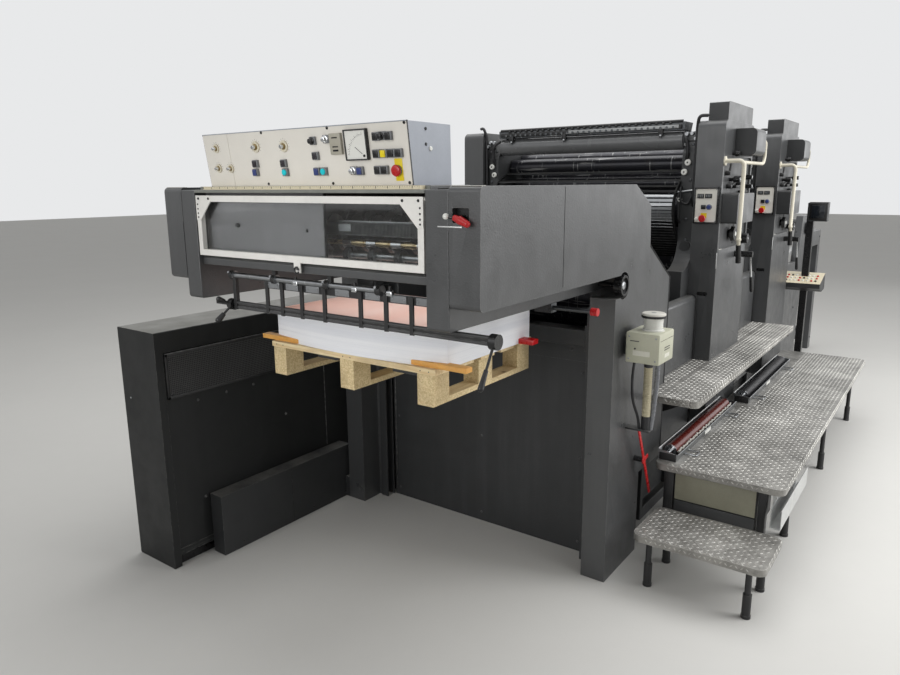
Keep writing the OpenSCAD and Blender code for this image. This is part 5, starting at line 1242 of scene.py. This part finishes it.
def dress_cabinet():
    low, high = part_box("drive_cabinet")
    build = Build("drive_cabinet", CAB)
    build.paint(CAB_TOP, lambda c, n: n.z > 0.9 and c.z > high.z - 0.01)
    build.paint(INK_BLACK, lambda c, n: high.x - 0.031 < c.x < high.x - 0.0005 and c.z < 0.0585)
    # The front gives way a little, so that its screw stays within the cabinet's size
    for vert in build.bm.verts:
        if vert.co.y < low.y + 0.001:
            vert.co.y += 0.003
    build.screw(front(low.x + 0.057, low.y + 0.003, 0.802), 0.005, STEEL)
    x = high.x
    for y, z in ((-3.074, 0.781), (-2.913, 0.781), (-2.752, 0.781), (-2.553, 0.572), (-3.076, 0.295), (-2.751, 0.291)):
        build.screw(side(x - 0.006, y, z), 0.007, WORN_BLACK)
    # Folded sheet edges: pale strip at the foot, and the edge of the lower panel
    build.box((x - 0.0065, -3.233, 0.0600), (x - 0.0003, -2.12, 0.0720), CAB_TOP, soft=0.0008)
    build.box((x - 0.0062, -2.268, 0.31), (x - 0.0042, -2.264, 0.80), WORN_BLACK)
    build.done(bevel=0.004, segments=3)
    grille = Build("cabinet_cover_plates", BLACK)
    grille.paint(DUCT, lambda c, n: c.z < 0.306)
    gy0, gy1, gz0, gz1 = -3.228, -2.105, 0.820, 1.030
    grille.box((x + 0.0012, gy0 + 0.010, gz0 + 0.008), (x + 0.0030, gy1 - 0.010, gz1 - 0.008), PERFORATED)
    for y0, z0, y1, z1 in ((gy0, gz0, gy1, gz0 + 0.012), (gy0, gz1 - 0.012, gy1, gz1), (gy0, gz0, gy0 + 0.012, gz1),
                           (gy1 - 0.012, gz0, gy1, gz1)):
        grille.box((x + 0.0015, y0, z0), (x + 0.0045, y1, z1), BLACK, soft=0.0008)
    grille.box((x + 0.0015, gy0, gz1 - 0.001), (x + 0.0070, gy1, gz1 + 0.003), WORN_BLACK, soft=0.0008)
    for y in (gy0 + 0.024, gy1 - 0.024):
        for z in (gz0 + 0.022, gz1 - 0.022):
            grille.screw(side(x + 0.003, y, z), 0.006, BLACK)
    duct = x + 0.084
    for y in (-2.942, -2.471, -2.23):
        grille.screw(side(duct, y, 0.030), 0.006, INK_BLACK)
    grille.box((duct - 0.0005, -2.6155, 0.004), (duct + 0.0006, -2.6140, 0.301), SEAM)
    grille.done(bevel=0.0012)


def dress_back_panel():
    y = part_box("delivery_back_panel")[0].y
    build = Build("delivery_back_panel", DARK)
    for x in (-0.56, 0.0, 0.56):
        for z in (0.05, 0.48, 0.90):
            build.screw(front(x, y, z), 0.006, WORN_BLACK)
    # Folded edge strips at both sides
    for x in (-0.585, 0.585):
        build.box((x - 0.003, y - 0.004, 0.03), (x + 0.003, y + 0.001, 0.94), WORN_BLACK, soft=0.001)
    build.done(bevel=0.002)
    build = Build("delivery_guide_frame", DARK)
    for x in (-0.50, -0.25, 0.0, 0.25, 0.50):
        build.screw(front(x, -2.0307, 1.007), 0.008, WORN_BLACK)
    build.done(bevel=0.0015)


def dress_junction_box():
    """Box on its bracket, with its lid, sight cup and corrugated conduit."""
    wall, y0, z0 = COVER_OUT, -2.135, 1.013
    x = wall + 0.019
    build = Build("junction_box")
    y1, z1, out = y0 + 0.175, z0 + 0.133, x + 0.148
    build.box((wall + 0.0003, y0 + 0.035, z0 + 0.025), (x + 0.002, y1 - 0.035, z1 - 0.025), DARK, soft=0.001)
    build.box((x, y0, z0), (out, y1, z1), BOX_PLASTIC, soft=0.007)
    # Lid on the front, with a pale strip, dark slot and four screws
    build.box((x + 0.007, y0 - 0.0014, z0 + 0.009), (out - 0.007, y0 + 0.004, z1 - 0.009), BOX_PLASTIC, soft=0.0014)
    build.box((x + 0.034, y0 - 0.0026, z0 + 0.034), (out - 0.040, y0 + 0.002, z0 + 0.056), PALE_PLATE, soft=0.0008)
    build.box((x + 0.020, y0 - 0.0020, z0 + 0.094), (x + 0.060, y0 + 0.002, z0 + 0.098), DARK, soft=0.0006)
    build.turned([(0, 0), (0.004, 0), (0.004, 0.003), (0, 0.003)], DARK, front(x + 0.044, y0 - 0.0024, z0 + 0.064), 12)
    for dx in (0.016, 0.132):
        for dz in (0.018, 0.115):
            build.screw(front(x + dx, y0 - 0.0014, z0 + dz), 0.0042, STEEL)
    # Lid line, slots and a pale plate on the outer side
    build.box((out - 0.0006, y0 + 0.010, z0 + 0.102), (out + 0.0004, y1 - 0.010, z0 + 0.1035), SEAM)
    for dz in (0.056, 0.066):
        build.box((out - 0.0006, y0 + 0.060, z0 + dz), (out + 0.0004, y0 + 0.125, z0 + dz + 0.004), INK_BLACK)
    build.box((out - 0.0006, y0 + 0.066, z0 + 0.024), (out + 0.0006, y0 + 0.122, z0 + 0.040), PALE_PLATE)
    # Sight cup: pale tapered wall, rim and pale lid with a dark band
    cup = at(x + 0.0865, y0 + 0.085, z1)
    build.turned([(0, -0.001), (0.0470, -0.001), (0.0470, 0.005), (0.0405, 0.009), (0.0400, 0.030), (0.0425, 0.060),
                  (0.0, 0.060)], CUP, cup, 32)
    build.turned([(0, 0.056), (0.0500, 0.056), (0.0515, 0.059), (0.0515, 0.066), (0, 0.066)], DARK_RUBBER, cup, 32)
    build.turned([(0, 0.065), (0.0500, 0.065), (0.0500, 0.073), (0.0470, 0.076), (0, 0.0765)], PALE_PLASTIC_AND_HIGHLIGHT, cup, 32)
    build.turned([(0, 0.076), (0.011, 0.076), (0.010, 0.0768), (0, 0.0770)], STEEL, cup, 16)
    # Gland, corrugated hose and the boot that stands on its ledge
    hose = at(x + 0.065, y0 + 0.113, z0)
    build.turned([(0, 0.001), (0.022, 0.001), (0.022, -0.014), (0.020, -0.018), (0.020, -0.034), (0.017, -0.041),
                  (0, -0.041)], DARK, hose, 18)
    profile = [(0, -0.036)]
    for step in range(28):
        z = -0.038 - 0.0082 * step
        profile += [(0.0168, z), (0.0188, z - 0.0018), (0.0188, z - 0.0052), (0.0168, z - 0.0070)]
    build.turned(profile + [(0, profile[-1][1])], HOSE, hose, 20)
    build.turned([(0, -0.262), (0.0192, -0.262), (0.0198, -0.268), (0.0198, -0.290), (0.0198, -0.3225), (0, -0.3225)],
                 DARK_RUBBER, hose, 20)
    build.box((wall + 0.0003, y0 + 0.089, z0 - 0.331), (x + 0.091, y0 + 0.137, z0 - 0.3232), DARK, soft=0.001)
    # Thin black hose and a grey one that run down beside it to the ledge
    thin = curve_points([(x + 0.022, y0 + 0.060, z0 + 0.002), (x + 0.014, y0 + 0.058, z0 - 0.080),
                         (x + 0.012, y0 + 0.078, z0 - 0.190), (x + 0.034, y0 + 0.100, z0 - 0.270),
                         (x + 0.040, y0 + 0.104, z0 - 0.325)], 0.06, 6)
    build.tube(thin, 0.0060, DARK_RUBBER, 10)
    build.tube(curve_points([(x + 0.096, y0 + 0.140, z0 + 0.002), (x + 0.098, y0 + 0.138, z0 - 0.100),
                             (x + 0.090, y0 + 0.128, z0 - 0.260), (x + 0.084, y0 + 0.124, z0 - 0.325)], 0.05, 6),
               0.0105, GREY_HOSE, 12)
    build.done()


def dress_bed_covers():
    build = Build("bed_side_covers", GREY)
    x = COVER_OUT - 0.004
    for sign in (-1, 1):
        # Dark trim along the sloping edge and down the back edge of the cover behind the column
        line = [(sign * x, -1.846, 1.4895), (sign * x, -1.556, 1.3155), (sign * x, -1.556, 0.405)]
        build.tube([line[0], line[1]], 0.0035, TRIM, 8)
        build.tube([line[1], line[2]], 0.0035, TRIM, 8)
    build.done(bevel=0.004, segments=3)


def dress_valve():
    dress("valve_handle", RED, 0.0015, paints=((INK_BLACK, lambda c, n: c.x < COVER_OUT + 0.0425),))


def dress_desk():
    build = Build("feeder_desk", DARK)
    y = 1.275
    build.paint(CREAM, lambda c, n: 0.98 < c.z < 1.06 and n.z > 0.8)
    build.paint(INK_BLACK, lambda c, n: abs(c.x - 0.915) < 0.03 and abs(c.y - y) < 0.03)
    slope = at(0, y - 0.160, 0.985) @ turn("X", math.degrees(math.atan2(0.065, 0.220)))
    for column in range(9):
        for row in range(3):
            cap = (RED, DIAL, DIAL, INK_BLACK, DIAL, RED, DIAL)[(column * 3 + row * 2) % 7]
            u, v = 0.770 + 0.030 * column, 0.050 + 0.050 * row
            build.turned([(0, 0), (0.008, 0), (0.008, 0.006), (0.006, 0.009), (0, 0.009)], cap, slope @ at(u, v), 12)
    box_front = y - 0.060
    build.box((0.910, box_front - 0.003, 1.470), (1.032, box_front + 0.001, 1.597), INK_BLACK, soft=0.002)
    build.box((0.925, box_front - 0.0042, 1.485), (1.017, box_front - 0.002, 1.582), SCREEN, soft=0.001)
    build.done(bevel=0.003)


def dress_feeder():
    for node, finish, width in (("feeder_frame", GREY, 0.006), ("feeder_pile_table", DARK, 0.004),
                                ("feeder_head", DARK, 0.004), ("feed_board", RAIL, 0.003)):
        dress(node, finish, width)
    build = Build()
    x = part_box("feeder_frame")[1].x
    for sign in (-1, 1):
        for y, z in ((1.58, 0.10), (1.58, 0.98), (2.30, 0.60), (2.52, 1.38), (2.72, 1.22), (3.40, 0.12), (3.40, 1.20)):
            build.screw(side(sign * x, y, z, sign), 0.010, DULL)
        build.turned([(0, 0), (0.055, 0), (0.060, 0.006), (0.060, 0.016), (0.052, 0.020), (0.030, 0.016),
                      (0.014, 0.018), (0.014, 0.030), (0, 0.032)], INK_BLACK, side(sign * x, 2.56, 1.33, sign), 32)
    # Tapes, their rollers and the sheet wheels on the feed board
    board = math.degrees(math.atan2(1.150 - 1.024, 0.948))
    place = at(0, 1.502, 1.0243) @ turn("X", board)
    for u in (-0.42, -0.25, -0.08, 0.08, 0.25, 0.42):
        build.box((u - 0.014, 0.01, 0.0), (u + 0.014, 0.940, 0.0022), BEIGE, place, 0.0006)
    for v in (0.25, 0.60):
        build.rod((-0.595, v, 0.055), (0.595, v, 0.055), 0.009, STEEL, place=place)
        for u in (-0.42, -0.25, 0.25, 0.42):
            build.rod((u - 0.012, v, 0.026), (u + 0.012, v, 0.026), 0.0235, DARK_RUBBER, place=place)
            build.box((u - 0.005, v - 0.005, 0.026), (u + 0.005, v + 0.005, 0.060), STEEL, place)
    build.done("feeder_fittings")


def dress_unit_backs():
    """Plain guards behind the units, with handles and screws."""
    build = Build("unit_guards", DARK)
    for y in UNITS:
        for x in (-0.52, 0.0, 0.52):
            for z in (1.30, 1.80):
                build.screw(at(x, y + 0.254, z) @ turn("X", -90), 0.008, DULL)
        for x in (-0.28, 0.28):
            build.tube(curve_points([(x - 0.06, y + 0.250, 1.70), (x - 0.06, y + 0.290, 1.70),
                                     (x + 0.06, y + 0.290, 1.70), (x + 0.06, y + 0.250, 1.70)], 0.015, 4),
                       0.007, INK_BLACK, 10)
    build.done(bevel=0.002)


# CAD nodes that need only rounded edges and a finish
ROUNDED = (
    ("machine_bed", DARK, 0.004), ("unit_side_frames", DARK, 0.006), ("delivery_side_frames", GREY, 0.004),
    ("delivery_roof", GREY, 0.002), ("front_guard_pane", CLEAR, 0.001), ("pile_carrier", DARK, 0.003),
    ("cable_tray", RAIL, 0.001),
)
for node, finish, width in ROUNDED:
    dress(node, finish, width)
for make in (
        dress_console_face, dress_console_controls, dress_console_housing, dress_ruler, dress_guard, dress_front_rail,
        dress_inner_rollers, dress_stops, dress_levers, dress_side_covers, dress_handwheel, dress_pile,
        dress_tower_panels, dress_towers, dress_tower_boxes, dress_tower_knobs, dress_levers_and_rails,
        dress_unit_rollers, dress_fountains, dress_slats, dress_platforms, dress_trays, dress_stands, dress_cabinet,
        dress_back_panel, dress_junction_box, dress_bed_covers, dress_valve, dress_desk, dress_feeder,
        dress_unit_backs):
    make()
